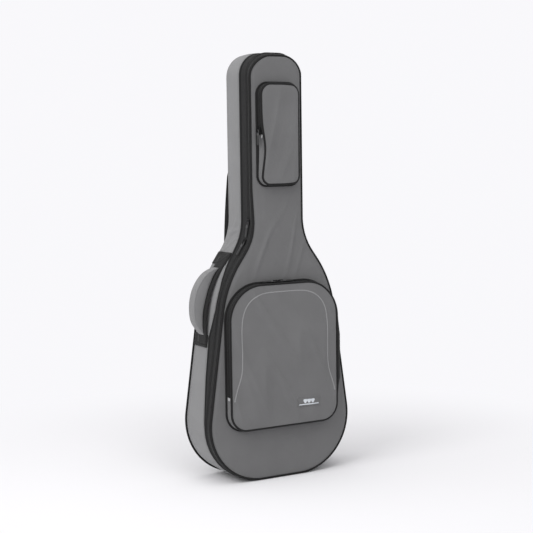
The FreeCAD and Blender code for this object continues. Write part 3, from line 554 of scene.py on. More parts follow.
def inflate(obj, held, pressure, cap, frames=20):
    """Cloth simulation under pressure. held is 1 where a point is sewn down; cap limits the swell."""
    group = obj.vertex_groups.new(name="held")
    for index, weight in enumerate(held):
        if weight > 0:
            group.add([index], float(weight), "REPLACE")
    before = read_points(obj)
    cloth_modifier = obj.modifiers.new("cloth", "CLOTH")
    settings = cloth_modifier.settings
    settings.quality = 5
    settings.mass = 0.3
    settings.use_pressure = True
    settings.uniform_pressure_force = pressure
    settings.vertex_group_mass = "held"
    settings.effector_weights.gravity = 0
    settings.tension_stiffness = 25
    settings.compression_stiffness = 25
    settings.bending_stiffness = 2
    for step in range(1, frames + 1):
        bpy.context.scene.frame_set(step)
    evaluated = obj.evaluated_get(bpy.context.evaluated_depsgraph_get())
    after = read_points(evaluated)
    bpy.context.scene.frame_set(1)
    obj.modifiers.remove(cloth_modifier)
    obj.vertex_groups.clear()
    move = after - before
    largest = np.linalg.norm(move, axis=1).max()
    if largest > cap:
        move *= cap / largest
    write_points(obj, before + move)


def refine(obj, levels=1):
    """Apply a subdivision surface."""
    modifier = obj.modifiers.new("subdivide", "SUBSURF")
    modifier.levels = levels
    modifier.render_levels = levels
    evaluated = obj.evaluated_get(bpy.context.evaluated_depsgraph_get())
    mesh = bpy.data.meshes.new_from_object(evaluated)
    obj.modifiers.clear()
    obj.data = mesh


def finish_piece(obj, body, slot, *nodes):
    if nodes:
        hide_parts(*nodes)
    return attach(obj, body)


# ------------------------------------------------------------------ the padded shell and lid

ALL = sample(SHELL["all"], FACETS, loop=True)
FINE = sample(SHELL["zip"], 0.00125)
HINGE = sample(SHELL["hinge"], FACETS)
BELLY = 0.0016          # how far the padded side bulges between its seams


def kink(z):
    """Strength of the folds where the side turns into the neck."""
    return np.exp(-((z - 0.61) / 0.055) ** 2)


def side_relief(x, y, z):
    """Height of the soft folds on the padded side."""
    slow = ripple(x, y * 0.6, z, 11.0, 3.0) * 0.0007
    wave = ripple(x * 0.5, y * 0.5, z + 0.5 * y, 30.0, 7.0)
    fold = 0.0045 * np.maximum(1 - 5 * np.abs(wave), 0)
    return slow + fold * kink(z) * (x < 0.02)


def side_belly(y):
    share = np.clip((y - TAPE_REAR) / (BACK_PAD_FRONT - TAPE_REAR), 0, 1)
    return BELLY * np.sin(math.pi * share) ** 0.7


SEAM_HEIGHTS = (0.0, 0.150, 0.265, 0.370, 0.440, 0.490, 0.525, 0.585, 0.660, 1.080)
SEAM_SHIFTS = (-0.0165, -0.0165, 0.004, 0.0125, -0.0095, -0.009, 0.0, 0.0165, 0.019, 0.019)


def seam_shift(z):
    """How far behind its drawn place the front edge of the padded side lies."""
    return np.interp(z, SEAM_HEIGHTS, SEAM_SHIFTS)


def drift(points, reach, depth):
    """Move the rear half of a trim strip with the seam, leaving its front edge at the zip."""
    share = np.clip((depth - SHELL_EDGE - 0.003) / (TAPE_REAR - SHELL_EDGE - 0.003), 0, 1)
    return reach, depth + share * seam_shift(points[:, 1:])


def make_gusset():
    steps = 16
    ys = np.linspace(TAPE_REAR, BACK_PAD_FRONT + 0.0165, steps + 1)
    outer = [(-0.0027, SHELL_EDGE), (-0.0027, TAPE_REAR - 0.0002)] + [(0.0, y) for y in ys]
    inner = [(-WALL, BACK_PAD_FRONT), (-WALL, 0.03), (-WALL, 0.0), (-WALL, SHELL_EDGE)]
    outer[-1] = (-0.0012, ys[-1])

    def relief(points, reach, depth):
        outside = reach > -0.002
        x = np.repeat(points[:, :1], reach.shape[1], 1)
        z = np.repeat(points[:, 1:], reach.shape[1], 1)
        lift = side_belly(depth) + side_relief(x, depth, z) * np.sin(
            math.pi * np.clip((depth - TAPE_REAR) / (BACK - TAPE_REAR), 0, 1))
        front = np.clip((ys[-1] - depth) / (ys[-1] - TAPE_REAR), 0, 1)
        moved = depth + np.where(outside, front * seam_shift(z), 0)
        return reach + np.where(outside, lift, 0), np.maximum(moved, SHELL_EDGE + 0.0028)

    marks = [1, 0] + [0] * (steps + 1) + [1] * len(inner)
    obj = sweep("gusset_cover", ALL, outer + inner, ["side", "lining"], face_materials=marks,
                shape=relief)
    finish_piece(obj, "shell", "side_fabric", "side_gusset")
    return obj


def lid_relief(x, z, far):
    soft = ripple(x, 0 * x, z, 7.0, 1.0) * 0.0020
    wave = ripple(x - 0.35 * z, 0 * x, z * 0.20, 22.0, 5.0)
    crease = 0.0042 * np.maximum(1 - 5 * np.abs(wave), 0)
    neck = np.exp(-((z - 0.60) / 0.075) ** 2)
    return (soft + crease * neck) * (1 - np.exp(-far / 0.02))


def back_relief(x, z, far):
    return ripple(x, 0 * x, z, 8.0, 9.0) * 0.0012 * (1 - np.exp(-far / 0.02))


def lid_spread(x, z):
    """How far the neck's left side of the lid spreads over the zip."""
    above = np.clip((z - 0.62) / 0.12, 0, 1) * np.clip((HEIGHT - 0.012 - z) / 0.05, 0, 1)
    return 0.007 * above * np.clip(-x / NECK_HALF, 0, 1)


def lid_drop(z):
    """How far the lid's top edge sinks below the zip."""
    return 0.006 * np.clip((z - HEIGHT + 0.05) / 0.05, 0, 1)


def lid_share(y):
    """0 at the zip, 1 at the lid's piping."""
    return np.clip((LID_EDGE - y) / (LID_EDGE - LID_PIPING_REAR), 0, 1)


def spread(points, reach, depth):
    """Let a trim strip of the lid follow it, from nothing at the zip to all of it at the piping."""
    x, z = points[:, :1], points[:, 1:]
    return reach + lid_share(depth) * (lid_spread(x, z) - lid_drop(z)), depth


def make_panels():
    low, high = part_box("lid_panel")
    lid = panel("lid_cover", SHELL["all"], 0.0036, high.y, low.y, ["panel", "lining"], edge=0.0034,
                crown=0.0018, relief=lid_relief)
    co = read_points(lid)
    follow = lid_share(co[:, 1])
    co[:, 0] -= lid_spread(co[:, 0], co[:, 2]) * follow
    co[:, 2] -= lid_drop(co[:, 2]) * follow
    write_points(lid, co)
    finish_piece(lid, "lid", "padded_panel_fabric", "lid_panel")
    low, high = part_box("back_panel")
    back = panel("back_cover", SHELL["all"], 0.0036, low.y, high.y, ["panel", "lining"], edge=0.0034,
                 crown=0.0, relief=back_relief, outward=1)
    finish_piece(back, "shell", "padded_panel_fabric", "back_panel")
    low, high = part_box("lid_lining")
    inner = panel("lid_lining_cloth", SHELL["all"], WALL, low.y, high.y, ["lining"], edge=0.0002,
                  relief=back_relief, outward=1, rear_relief=lambda x, z, far: -back_relief(x, z, far))
    finish_piece(inner, "lid", "lining", "lid_lining")
    declare_lining()
    low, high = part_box("back_lining")
    outer = panel("back_lining_cloth", SHELL["all"], WALL, high.y, low.y, ["lining"], edge=0.0002,
                  relief=back_relief, outward=-1, rear_relief=lambda x, z, far: -back_relief(x, z, far))
    finish_piece(outer, "shell", "lining", "back_lining")
    declare_lining()


def declare_lining():
    """Work out the points of a panel's inner outline, to which a lining is cut; nothing uses them."""
    points = inset_outline(SHELL["all"], WALL, FACETS)


def make_shell_trim():
    back = round_profile(-0.0034, BACK - 0.0024, 0.0026)

    def proud(points, reach, depth):
        low = np.clip((0.50 - points[:, 1:]) / 0.10, 0, 1)
        return reach + 0.0050 * low, depth

    finish_piece(sweep("back_piping_cord", ALL, back, ["piping"], shape=proud), "shell", "black_piping",
                 "back_piping")
    lid = round_profile(-0.0034, FRONT + 0.0024, 0.0027)
    finish_piece(sweep("lid_piping_cord", ALL, lid, ["piping"], shape=spread), "lid", "black_piping",
                 "lid_piping")
    for name, body, y0, y1 in (("shell", "shell", SHELL_EDGE + 0.0026, TAPE_REAR),
                               ("lid", "lid", LID_PIPING_REAR, LID_EDGE - 0.0026)):
        profile = slab_profile(-0.0012, 0.0015, y0, y1, steps=6)
        tape = sweep("main_tape_" + name, FINE, profile, ["tape"], loop=False,
                     shape=drift if name == "shell" else spread)
        finish_piece(tape, body, "zip_tape", "main_zip_tape_" + name)
    binding = slab_profile(-0.0001, 0.002, TAPE_REAR - 0.0045, TAPE_REAR + 0.001, steps=4, belly=0.0006)
    ride_on(sweep("tape_binding", FINE, binding, ["binding"], loop=False, shape=drift), "shell")
    flange = slab_profile(-0.0006, 0.002, LID_PIPING_REAR - 0.0005, LID_PIPING_REAR + 0.004, steps=4,
                          belly=0.0004)
    ride_on(sweep("lid_binding", FINE, flange, ["binding"], loop=False, shape=spread), "lid")
    make_coil("main_coil_shell", FINE, -0.0005, 0.0022, SHELL_EDGE, 0.0026, 1, "shell",
              "main_zip_coil_shell")
    make_coil("main_coil_lid", FINE, -0.0005, 0.0022, LID_EDGE, -0.0026, 0, "lid", "main_zip_coil_lid")
    web = slab_profile(-0.0008, 0.0022, LID_PIPING_REAR - 0.0005, TAPE_REAR + 0.0005, steps=28)
    obj = sweep("hinge_web", HINGE, web, ["side"], loop=False, shape=drift)
    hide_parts("hinge_strip_shell", "hinge_strip_lid")
    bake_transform(obj)


def ride_on(obj, body):
    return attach(obj, body)


def make_coil(name, path, out, thickness, edge, depth, phase, body, node):
    """Half of a zip: a bead that swells at every tooth along the split."""
    profile = [(out, edge + depth), (out, edge + 0.3 * depth), (out - 0.4 * thickness, edge),
               (out - thickness, edge + 0.3 * depth), (out - thickness, edge + depth)]

    def teeth(points, reach, depths):
        tooth = (np.arange(len(points)) + phase) % 2
        gap = np.where(tooth[:, None] == 1, 0.0, 1.0)
        back = gap * np.array([0.0009, 0.0009, 0.0, 0.0, 0.0])[None, :]
        side = gap * np.array([0.0, 0.25, 0.45, 0.25, 0.0])[None, :] * depth
        return pinch(points, reach - back, depths + side)

    obj = sweep(name, path, profile, ["coil"], loop=False, shape=teeth)
    return finish_piece(obj, body, "zip_coil", node)


# ------------------------------------------------------------------ pockets

def band(name, path, out0, out1, thickness, y0, y1, key, body, slot, nodes, steps=5, edge=0.0005):
    """Strip of a pocket's wall, leaning from out1 at its rear (y1) to out0 at its front (y0)."""
    profile = slab_profile(0.0, thickness, y0, y1, steps=steps, edge=edge)
    slope = (out1 - out0) / (y1 - y0)
    profile = [(a + out0 + slope * (b - y0), b) for a, b in profile]
    obj = sweep(name, path, profile, [key], loop=False, shape=pinch)
    return finish_piece(obj, body, slot, *nodes)


def surface_finder(obj):
    """Function giving the y of the object's front surface at (x, z)."""
    mesh = obj.data
    tree = BVHTree.FromPolygons([v.co for v in mesh.vertices], [tuple(p.vertices) for p in mesh.polygons])

    def front_of(x, z, fallback=FRONT):
        hit = tree.ray_cast(Vector((x, -1.0, z)), Vector((0, 1, 0)))
        return hit[0].y if hit[0] else fallback

    return front_of


def pocket_relief(slant, strength, seed):
    def relief(x, z, far):
        wave = ripple(x + slant * z, 0 * x, z * 0.22 - 0.1 * x, 15.0, seed)
        fold = 1.6 * np.maximum(1 - 4 * np.abs(wave), 0) - 0.3
        soft = ripple(x, 0 * x, z, 8.0, seed + 4)
        return strength * (0.6 * fold + 0.7 * soft) * (1 - np.exp(-far / 0.025))
    return relief


def press(obj, relief, runs, inset):
    """Add relief to a simulated front: folds along -Y, fading at its seam."""
    co = read_points(obj)
    outer = np.arange(len(co)) < obj["outer"]
    far = edge_distance(runs, inset, co[:, 0], co[:, 2])
    co[:, 1] -= np.where(outer, relief(co[:, 0], co[:, 2], far), 0)
    write_points(obj, co)


POCKET_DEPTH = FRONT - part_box("front_pocket_face")[0].y
POCKET_SWELL = 0.015
PINCH_HEIGHT = 0.838
PINCH_REACH = 0.050
PINCH_DEPTH = 0.010
PINCH_FADE = 0.012      # depth over which a pocket's wall reaches its full pinch
NECK_TAPER = 0.008


def pinch_at(x, z):
    """How far the neck pocket's sides are drawn in, fading towards its middle."""
    level = np.exp(-((z - PINCH_HEIGHT) / PINCH_REACH) ** 2)
    left = PINCH_DEPTH * level * np.clip(-x / NECK_POCKET["half"], 0, 1) ** 2
    neck = np.clip((z - NECK_POCKET["bottom"] + 0.02) / 0.01, 0, 1)
    return left + NECK_TAPER * neck * np.clip(x / NECK_POCKET["half"], 0, 1) ** 2


def pinch(points, reach, depth):
    """The same drawing-in for a strip swept along a pocket's outline; stronger towards its front.

    The front pocket's right wall swells outwards instead."""
    front = np.clip((FRONT - depth) / PINCH_FADE, 0, 1)
    x, z = points[:, :1], points[:, 1:]
    aside = np.clip((x - 0.09) / 0.05, 0, 1) * np.clip((z - FRONT_FOLD + 0.03) / 0.05, 0, 1)
    below = np.clip((FRONT_POCKET["top"] - 0.03 - z) / 0.12, 0, 1)
    share = np.clip((FRONT - depth) / POCKET_DEPTH, 0, 1)
    swell = POCKET_SWELL * aside * below * np.sin(math.pi * share)
    return reach - pinch_at(x, z) * front + swell, depth


def make_pocket(prefix, flap, runs, swell, relief, columns, step):
    """A zipped pocket's wall, zip, piping and padded front; the wall runs below its fold and the zip above
    it.
    """
    fold = runs["fold"]
    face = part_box(prefix + "_face")[0].y
    piping = 0.004
    wall_front = face + piping
    arch, trough = sample(runs["arch"], 0.003), sample(runs["trough"], 0.003)
    loop = sample(runs["all"], 0.003, loop=True)
    rear_out, front_out = -0.0035, -0.0052

    def out_at(y):
        return rear_out + (front_out - rear_out) * (y - FRONT) / (wall_front - FRONT)

    base = round_profile(-0.002, FRONT - 0.0014, 0.0029)
    finish_piece(sweep(prefix + "_foot_piping", loop, base, ["piping"], shape=pinch), "lid",
                 "black_piping", prefix + "_base_piping")
    band(prefix + "_wall", trough, out_at(wall_front), out_at(FRONT), 0.002, wall_front, FRONT, "panel",
         "lid", "side_fabric", [prefix + "_gusset"], steps=8)
    tape_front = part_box(prefix + "_tape_base")[0].y
    band(prefix + "_tape_rear", arch, out_at(tape_front), out_at(FRONT), 0.002, tape_front, FRONT, "tape",
         "lid", "zip_tape", [prefix + "_tape_base"])
    flap_low, flap_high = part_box(flap + "_tape")
    band(flap + "_tape_front", arch, out_at(flap_low.y), out_at(flap_high.y), 0.002, flap_low.y,
         flap_high.y, "tape", flap, "zip_tape", [flap + "_tape"])
    fine = sample(runs["arch"], 0.00125)
    middle = (tape_front + flap_high.y) / 2
    coil_out = out_at(middle) + 0.0009
    make_coil(prefix + "_coil_rear", fine, coil_out, 0.0026, middle + 0.0003, 0.002, 1, "lid",
              prefix + "_coil_base")
    make_coil(flap + "_coil_front", fine, coil_out, 0.0026, middle - 0.0003, -0.002, 0, flap,
              flap + "_coil")
    edge = round_profile(-0.0057, face + 0.0028, 0.0029)
    ring = sweep(prefix + "_edge_piping", loop, edge, ["piping"], shape=pinch)
    front = panel(prefix + "_front", runs["all"], 0.0068, face + 0.003, face + 0.0004,
                  ["panel", "lining"], step=step, columns=columns, edge=0.001)
    co = read_points(front)
    inwards = -np.sign(co[:, 0]) * np.clip((FRONT - co[:, 1]) / PINCH_FADE, 0, 1)
    co[:, 0] += pinch_at(co[:, 0], co[:, 2]) * inwards
    write_points(front, co)
    outer = np.arange(len(co)) < front["outer"]
    border = co[:, 1] > face + 0.00125
    inflate(front, np.where(outer & ~border, 0.0, 1.0), 4.0, swell)
    press(front, relief, runs["all"], 0.0068)
    mark = front["outer"]
    refine(front)
    for obj, nodes in ((ring, [prefix + "_face_piping", flap + "_piping"]),
                       (front, [prefix + "_face", flap + "_panel"])):
        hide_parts(*nodes)
    front["outer"] = mark
    return SimplePocket(front, ring, fold, face, flap)


class SimplePocket:
    def __init__(self, front, ring, fold, face, flap):
        self.front, self.ring, self.fold, self.face, self.flap = front, ring, fold, face, flap
        self.surface = surface_finder(front)

    def bend(self, obj):
        """Bake a piece of the front's transform into its mesh."""
        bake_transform(obj)


def finish_pocket(pocket):
    pocket.bend(pocket.ring)
    pocket.bend(pocket.front)


def ribbon(name, centres, width, lift, surface, key, thickness=0.0006):
    """Flat ribbon laid on a front along points in (x, z), following its surface."""
    pts = np.asarray(centres, float)
    along = np.gradient(pts, axis=0)
    along /= np.linalg.norm(along, axis=1)[:, None]
    side = np.stack([-along[:, 1], along[:, 0]], 1)
    vertices, faces = [], []
    offsets = (-0.5, -0.42, 0.0, 0.42, 0.5)
    count = len(offsets)
    for point, across in zip(pts, side):
        low = []
        for k, share in enumerate(offsets):
            x, z = point + across * width * share
            y = surface(x, z)
            top = y - lift if 0 < k < count - 1 else y - 0.4 * lift
            vertices.append((x, top, z))
            low.append((x, y + thickness, z))
        vertices += low
    ring = list(range(count)) + [count + k for k in reversed(range(count))]
    for i in range(len(pts) - 1):
        a, b = i * 2 * count, (i + 1) * 2 * count
        for k in range(len(ring)):
            m = (k + 1) % len(ring)
            faces.append((a + ring[k], a + ring[m], b + ring[m], b + ring[k]))
    end = (len(pts) - 1) * 2 * count
    faces.append(tuple(ring))
    faces.append(tuple(end + r for r in reversed(ring)))
    return fix_normals(new_object(name, vertices, faces, [key]))


def line_path():
    """Reflective line: up from the left end of the fold, over the top and back down."""
    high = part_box("reflective_line")[1]
    half, top = high.x, high.z
    corner = 0.07
    fold = FRONT_POCKET["fold"]
    foot = 0.148
    pts = []
    for k in range(15):
        share = k / 15
        ease = share * share * (3 - 2 * share)
        pts.append((-foot + (foot - half) * ease, fold - 0.010 + 0.075 * share))
    z = fold + 0.065
    straight = int((top - corner - z) / 0.004)
    pts += [(-half, z + (top - corner - z) * k / straight) for k in range(straight)]
    for k in range(22):
        angle = math.pi - math.pi / 2 * k / 22
        pts.append((-half + corner + corner * math.cos(angle), top - corner + corner * math.sin(angle)))
    across = int((2 * half - 2 * corner) / 0.004)
    left = pts + [(-half + corner + (half - corner) * k / (across // 2), top) for k in range(across // 2)]
    right = [(-x, z) for x, z in reversed(left)]
    return smooth_line(left + [(0.0, top)] + right, step=0.004, passes=24)[0]


def make_reflective_line(pocket):
    obj = ribbon("reflective_cord", line_path(), 0.003, 0.0005, pocket.surface, "line")
    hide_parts("reflective_line")
    pocket.bend(obj)


def plectrum(name, x0, z0, size, surface):
    """Small filled plectrum woven in the label's light thread, point down."""
    count = 24
    front, rear = [], []
    for k in range(count):
        angle = 2 * math.pi * k / count
        radius = size * (1 + 0.16 * math.cos(3 * (angle + math.pi / 2)))
        x, z = x0 + radius * math.cos(angle), z0 + radius * math.sin(angle)
        y = surface(x, z)
        front.append((x, y - 0.0012, z))
        rear.append((x, y + 0.0004, z))
    faces = [tuple(range(count)), tuple(count + k for k in reversed(range(count)))]
    for k in range(count):
        m = (k + 1) % count
        faces.append((k, count + k, count + m, m))
    return fix_normals(new_object(name, front + rear, faces, ["label_mark"], smooth=False))


def make_label(pocket):
    """Plain woven label with three plectrum shapes over a rule, and stitches round its edge."""
    low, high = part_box("pocket_label")
    centre = ((low.x + high.x) / 2, (low.z + high.z) / 2)
    half = ((high.x - low.x) / 2, (high.z - low.z) / 2)
    rows, cols = 12, 28
    vertices = []
    for layer, lift in ((0, 0.0008), (1, -0.0004)):
        for j in range(rows + 1):
            for i in range(cols + 1):
                x = centre[0] + half[0] * (2 * i / cols - 1)
                z = centre[1] + half[1] * (2 * j / rows - 1)
                rim = j in (0, rows) or i in (0, cols)
                y = pocket.surface(x, z)
                vertices.append((x, y - (lift * 0.6 if rim and layer == 0 else lift), z))
    obj = fix_normals(new_object("label_cloth", vertices, sheet_faces(rows + 1, cols + 1), ["label"]))
    finish_piece(obj, "lid", "woven_label", "pocket_label")
    for word, shift in (("left", -0.0105), ("middle", 0.0), ("right", 0.0105)):
        mark = plectrum("label_plectrum_" + word, centre[0] + shift, centre[1] + 0.0025, 0.0052,
                        pocket.surface)
        ride_on(mark, "lid")
    rule = [(centre[0] - half[0] * 0.86 + half[0] * 1.72 * k / 28, centre[1] - 0.0066) for k in range(29)]
    ride_on(ribbon("label_rule", rule, 0.0030, 0.0013, pocket.surface, "label_mark"), "lid")
    inset = 0.0018
    edge = []
    for i in range(26):
        x = centre[0] + (half[0] - inset) * (2 * (i + 0.5) / 26 - 1)
        edge.append((x, centre[1] + half[1] - inset, 0))
        edge.append((x, centre[1] - half[1] + inset, 0))
    for j in range(8):
        z = centre[1] + (half[1] - 0.004) * (2 * (j + 0.5) / 8 - 1)
        for side in (-1, 1):
            edge.append((centre[0] + side * (half[0] - inset), z, 1))
    places = [((x, pocket.surface(x, z) - 0.0009, z), (0, 0, 1) if up else (1, 0, 0), (0, -1, 0))
              for x, z, up in edge]
    ride_on(stitches("label_stitches", places, 0.0018, "label"), "lid")


# ------------------------------------------------------------------ stitching

def stitches(name, places, length, key, radius=0.00028):
    """One small spindle of thread at each place: (point, direction, surface normal)."""
    vertices, faces = [], []
    for point, along, normal in places:
        along, normal = Vector(along).normalized(), Vector(normal).normalized()
        side = along.cross(normal)
        base = len(vertices)
        centre = Vector(point)
        for share, size in ((-0.5, 0.35), (-0.3, 1.0), (0.3, 1.0), (0.5, 0.35)):
            for turn in range(4):
                angle = math.pi / 2 * turn
                offset = normal * math.cos(angle) * radius * size + side * math.sin(angle) * radius * size
                vertices.append(centre + along * length * share + offset)
        for ring in range(3):
            for turn in range(4):
                a, b = base + ring * 4 + turn, base + ring * 4 + (turn + 1) % 4
                faces.append((a, b, b + 4, a + 4))
        faces.append((base + 3, base + 2, base + 1, base))
        faces.append((base + 12, base + 13, base + 14, base + 15))
    return new_object(name, vertices, faces, [key])


def seam(name, path, out, y, body, key, pitch=0.0042, length=0.0028, keep=None, shift=None):
    """A row of stitches along a path of points and normals, at one depth."""
    points, normals = path
    steps = np.linalg.norm(np.diff(points, axis=0), axis=1)
    travel = np.concatenate([[0], np.cumsum(steps)])
    places = []
    for s in np.arange(pitch, travel[-1], pitch):
        k = min(np.searchsorted(travel, s), len(points) - 1)
        point, normal = points[k], normals[k]
        if keep and not keep(point):
            continue
        height = out if not callable(out) else out(point)
        at_y = y + float(shift(point[1])) if shift else y
        places.append(((point[0] + normal[0] * height, at_y, point[1] + normal[1] * height),
                       (-normal[1], 0, normal[0]), (normal[0], 0, normal[1])))
    return ride_on(stitches(name, places, length, key), body)


def make_seams():
    def side_out(y):
        def height(point):
            x, z = np.array([[point[0]]]), np.array([[point[1]]])
            ys = np.array([[y]])
            wave = math.sin(math.pi * (y - TAPE_REAR) / (BACK - TAPE_REAR))
            return float(side_belly(ys)[0, 0] + side_relief(x, ys, z)[0, 0] * wave) + 0.0001
        return height

    zipper = sample(SHELL["zip"], 0.002)
    above = lambda point: point[1] > 0.004
    seam("side_topstitch", zipper, side_out(TAPE_REAR + 0.004), TAPE_REAR + 0.004, "shell", "thread",
         keep=above, shift=seam_shift)
    seam("tape_stitch_shell", zipper, -0.0010, SHELL_EDGE + 0.0046, "shell", "dark_thread", keep=above)
    seam("tape_stitch_lid", zipper, -0.0010, LID_EDGE - 0.0046, "lid", "dark_thread", keep=above)


# ------------------------------------------------------------------ inside the shell

def rounded_block(name, outline, y0, y1, key, radius=0.003):
    """Closed block from an outline in (x, z), with rolled front and rear edges."""
    points = np.asarray(outline, float)
    rings = []
    middle = points.mean(0)
    levels = [(y0, radius), (y0 + 0.3 * radius, 0.3 * radius), (y0 + radius, 0.0), (y1 - radius, 0.0),
              (y1 - 0.3 * radius, 0.3 * radius), (y1, radius)]
    before = np.roll(points, 1, 0)
    after = np.roll(points, -1, 0)
    tangent = after - before
    normal = np.stack([tangent[:, 1], -tangent[:, 0]], 1)
    normal /= np.linalg.norm(normal, axis=1)[:, None]
    for y, pull in levels:
        ring = points - normal * pull
        rings.append([(p[0], y, p[1]) for p in ring])
    count = len(points)
    vertices = [v for ring in rings for v in ring] + [(middle[0], y0, middle[1]), (middle[0], y1, middle[1])]
    faces = ring_faces(len(rings), count, caps=False)
    front, rear = len(vertices) - 2, len(vertices) - 1
    last = (len(rings) - 1) * count
    for i in range(count):
        j = (i + 1) % count
        faces.append((front, j, i))
        faces.append((rear, last + i, last + j))
    return fix_normals(new_object(name, vertices, faces, [key]))


def make_end_block():
    """Foam pad that fills the foot of the shell, level on top."""
    low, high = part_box("end_block")
    radius = HALF_WIDTH - BASE_HALF - WALL
    level = high.z
    turn = math.asin((HALF_WIDTH - BASE_HALF - level) / radius)
    side = [("arc", (BASE_HALF, radius + WALL), radius, -math.pi / 2, -turn)]
    pts, _ = sample(side, 0.004)
    outline = [(-x, z) for x, z in reversed(pts)] + [tuple(p) for p in pts]
    top = [(x, level) for x in np.linspace(pts[-1][0], -pts[-1][0], 40)[1:-1]]
    block = rounded_block("end_pad", outline + top, low.y + 0.0005, high.y - 0.0005, "foam")
    finish_piece(block, "shell", "foam", "end_block")


def make_neck_rest():
    """Foam pad across the neck with a groove in its front."""
    low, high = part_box("neck_rest")
    groove, depth = 0.028, 0.014
    ys = np.linspace(low.z + 0.0005, high.z - 0.0005, 14)
    xs = np.linspace(low.x + 0.0004, high.x - 0.0004, 40)
    vertices = []
    for layer in (0, 1):
        for z in ys:
            for x in xs:
                dip = depth / (1 + math.exp((abs(x) - groove) / 0.003))
                end = min(z - low.z, high.z - z)
                roll = 0.003 * math.exp(-end / 0.002)
                y = low.y + dip + roll if layer == 0 else high.y - 0.0003
                vertices.append((x, y, z))
    rest = fix_normals(new_object("neck_pad", vertices, sheet_faces(len(ys), len(xs)), ["foam"]))
    finish_piece(rest, "shell", "foam", "neck_rest")


def make_neck_strap():
    """Flat strap over the neck rest, with a slight wave."""
    low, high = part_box("neck_strap")
    centre = (low.z + high.z) / 2
    half = (high.z - low.z) / 2
    pts = [(x, 0.0012 * math.sin(x * 60)) for x in np.linspace(low.x, high.x, 40)]
    vertices = []
    profile = [(-half, -0.001), (-half + 0.001, -0.0013), (half - 0.001, -0.0013), (half, -0.001),
               (half, 0.001), (half - 0.001, 0.0013), (-half + 0.001, 0.0013), (-half, 0.001)]
    middle = (low.y + high.y) / 2
    for x, dy in pts:
        vertices += [(x, middle + dy + b, centre + a) for a, b in profile]
    faces = ring_faces(len(pts), len(profile))
    strap = fix_normals(new_object("neck_tie", vertices, faces, ["webbing"]))
    finish_piece(strap, "shell", "lining", "neck_strap")


# ------------------------------------------------------------------ side handle

HANDLE_LOW, HANDLE_HIGH = 0.372, 0.540
WEBBING_BOW = 0.016
GRIP_HALF = 0.0155
GRIP_SHARES = (0.0, 0.04, 0.10, 0.20, 0.36, 0.48, 0.60, 0.72, 0.84, 0.94, 1.0)
GRIP_HEIGHTS = (0.005, 0.014, 0.0285, 0.0385, 0.0475, 0.0505, 0.0502, 0.0455, 0.0365, 0.0245, 0.0115)
HANDLE_JOINT = next(j for j in frame["joints"] if j["name"] == "handle_swing")
SWING_FOOT = Vector(HANDLE_JOINT["pos_m"])
SWING_UP = Vector(HANDLE_JOINT["axis"]).normalized()
SWING_OUT = Vector((-SWING_UP.z, 0, SWING_UP.x))
HANDLE_Y = SWING_FOOT.y
HANDLE_SPAN = (HANDLE_HIGH - HANDLE_LOW) / SWING_UP.z


def bow_at(s, bow):
    """How far an arc through the two feet stands out at a place s along the swing line."""
    half = HANDLE_SPAN / 2
    radius = (half ** 2 + bow ** 2) / (2 * bow)
    return math.sqrt(max(radius ** 2 - (s - half) ** 2, 0)) - (radius - bow)


def handle_point(s, out):
    spot = SWING_FOOT + SWING_UP * s + SWING_OUT * out
    return (spot.x, spot.z)


def side_point(z, lift=0.0):
    width = half_width(SHELL["all"], -lift)[0]
    return (-float(width(z)), z)


def smooth_line(points, step=0.003, passes=6):
    """Evenly spaced points along a softened line, and the normals on its left-hand, outer side."""
    pts = np.asarray(points, float)
    for _ in range(2):
        travel = np.concatenate([[0], np.cumsum(np.linalg.norm(np.diff(pts, axis=0), axis=1))])
        even = np.linspace(0, travel[-1], int(travel[-1] / step) + 1)
        pts = np.stack([np.interp(even, travel, pts[:, k]) for k in (0, 1)], 1)
        for _ in range(passes):
            pts[1:-1] = (pts[:-2] + 2 * pts[1:-1] + pts[2:]) / 4
    along = np.gradient(pts, axis=0)
    along /= np.linalg.norm(along, axis=1)[:, None]
    normals = np.stack([-along[:, 1], along[:, 0]], 1)
    return pts, normals


def make_handle():
    width = (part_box("handle_webbing")[1].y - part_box("handle_webbing")[0].y) / 2
    line = [side_point(z, 0.003) for z in (0.352, 0.359, 0.366)]
    line += [handle_point(s, bow_at(s, WEBBING_BOW)) for s in np.linspace(0.018, HANDLE_SPAN - 0.018, 24)]
    line += [side_point(z, 0.003) for z in (0.551, 0.558, 0.566)]
    path = smooth_line(line)
    thick = 0.003
    profile = slab_profile(thick / 2, thick, HANDLE_Y - width - 0.009, HANDLE_Y + width, steps=8)
    webbing = sweep("handle_strap", path, profile, ["webbing"], loop=False)
    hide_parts("handle_webbing")
    grip = make_grip()
    for obj in (webbing, grip) + make_grip_seams():
        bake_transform(obj)
    make_bands()


def softened(shares, values, passes=30):
    """Fine table of a smooth curve through a few values."""
    fine = np.linspace(0, 1, 81)
    curve = np.interp(fine, shares, values)
    for _ in range(passes):
        curve[1:-1] = (curve[:-2] + 2 * curve[1:-1] + curve[2:]) / 4
    return fine, curve


GRIP_FINE, GRIP_CURVE = softened(GRIP_SHARES, GRIP_HEIGHTS)


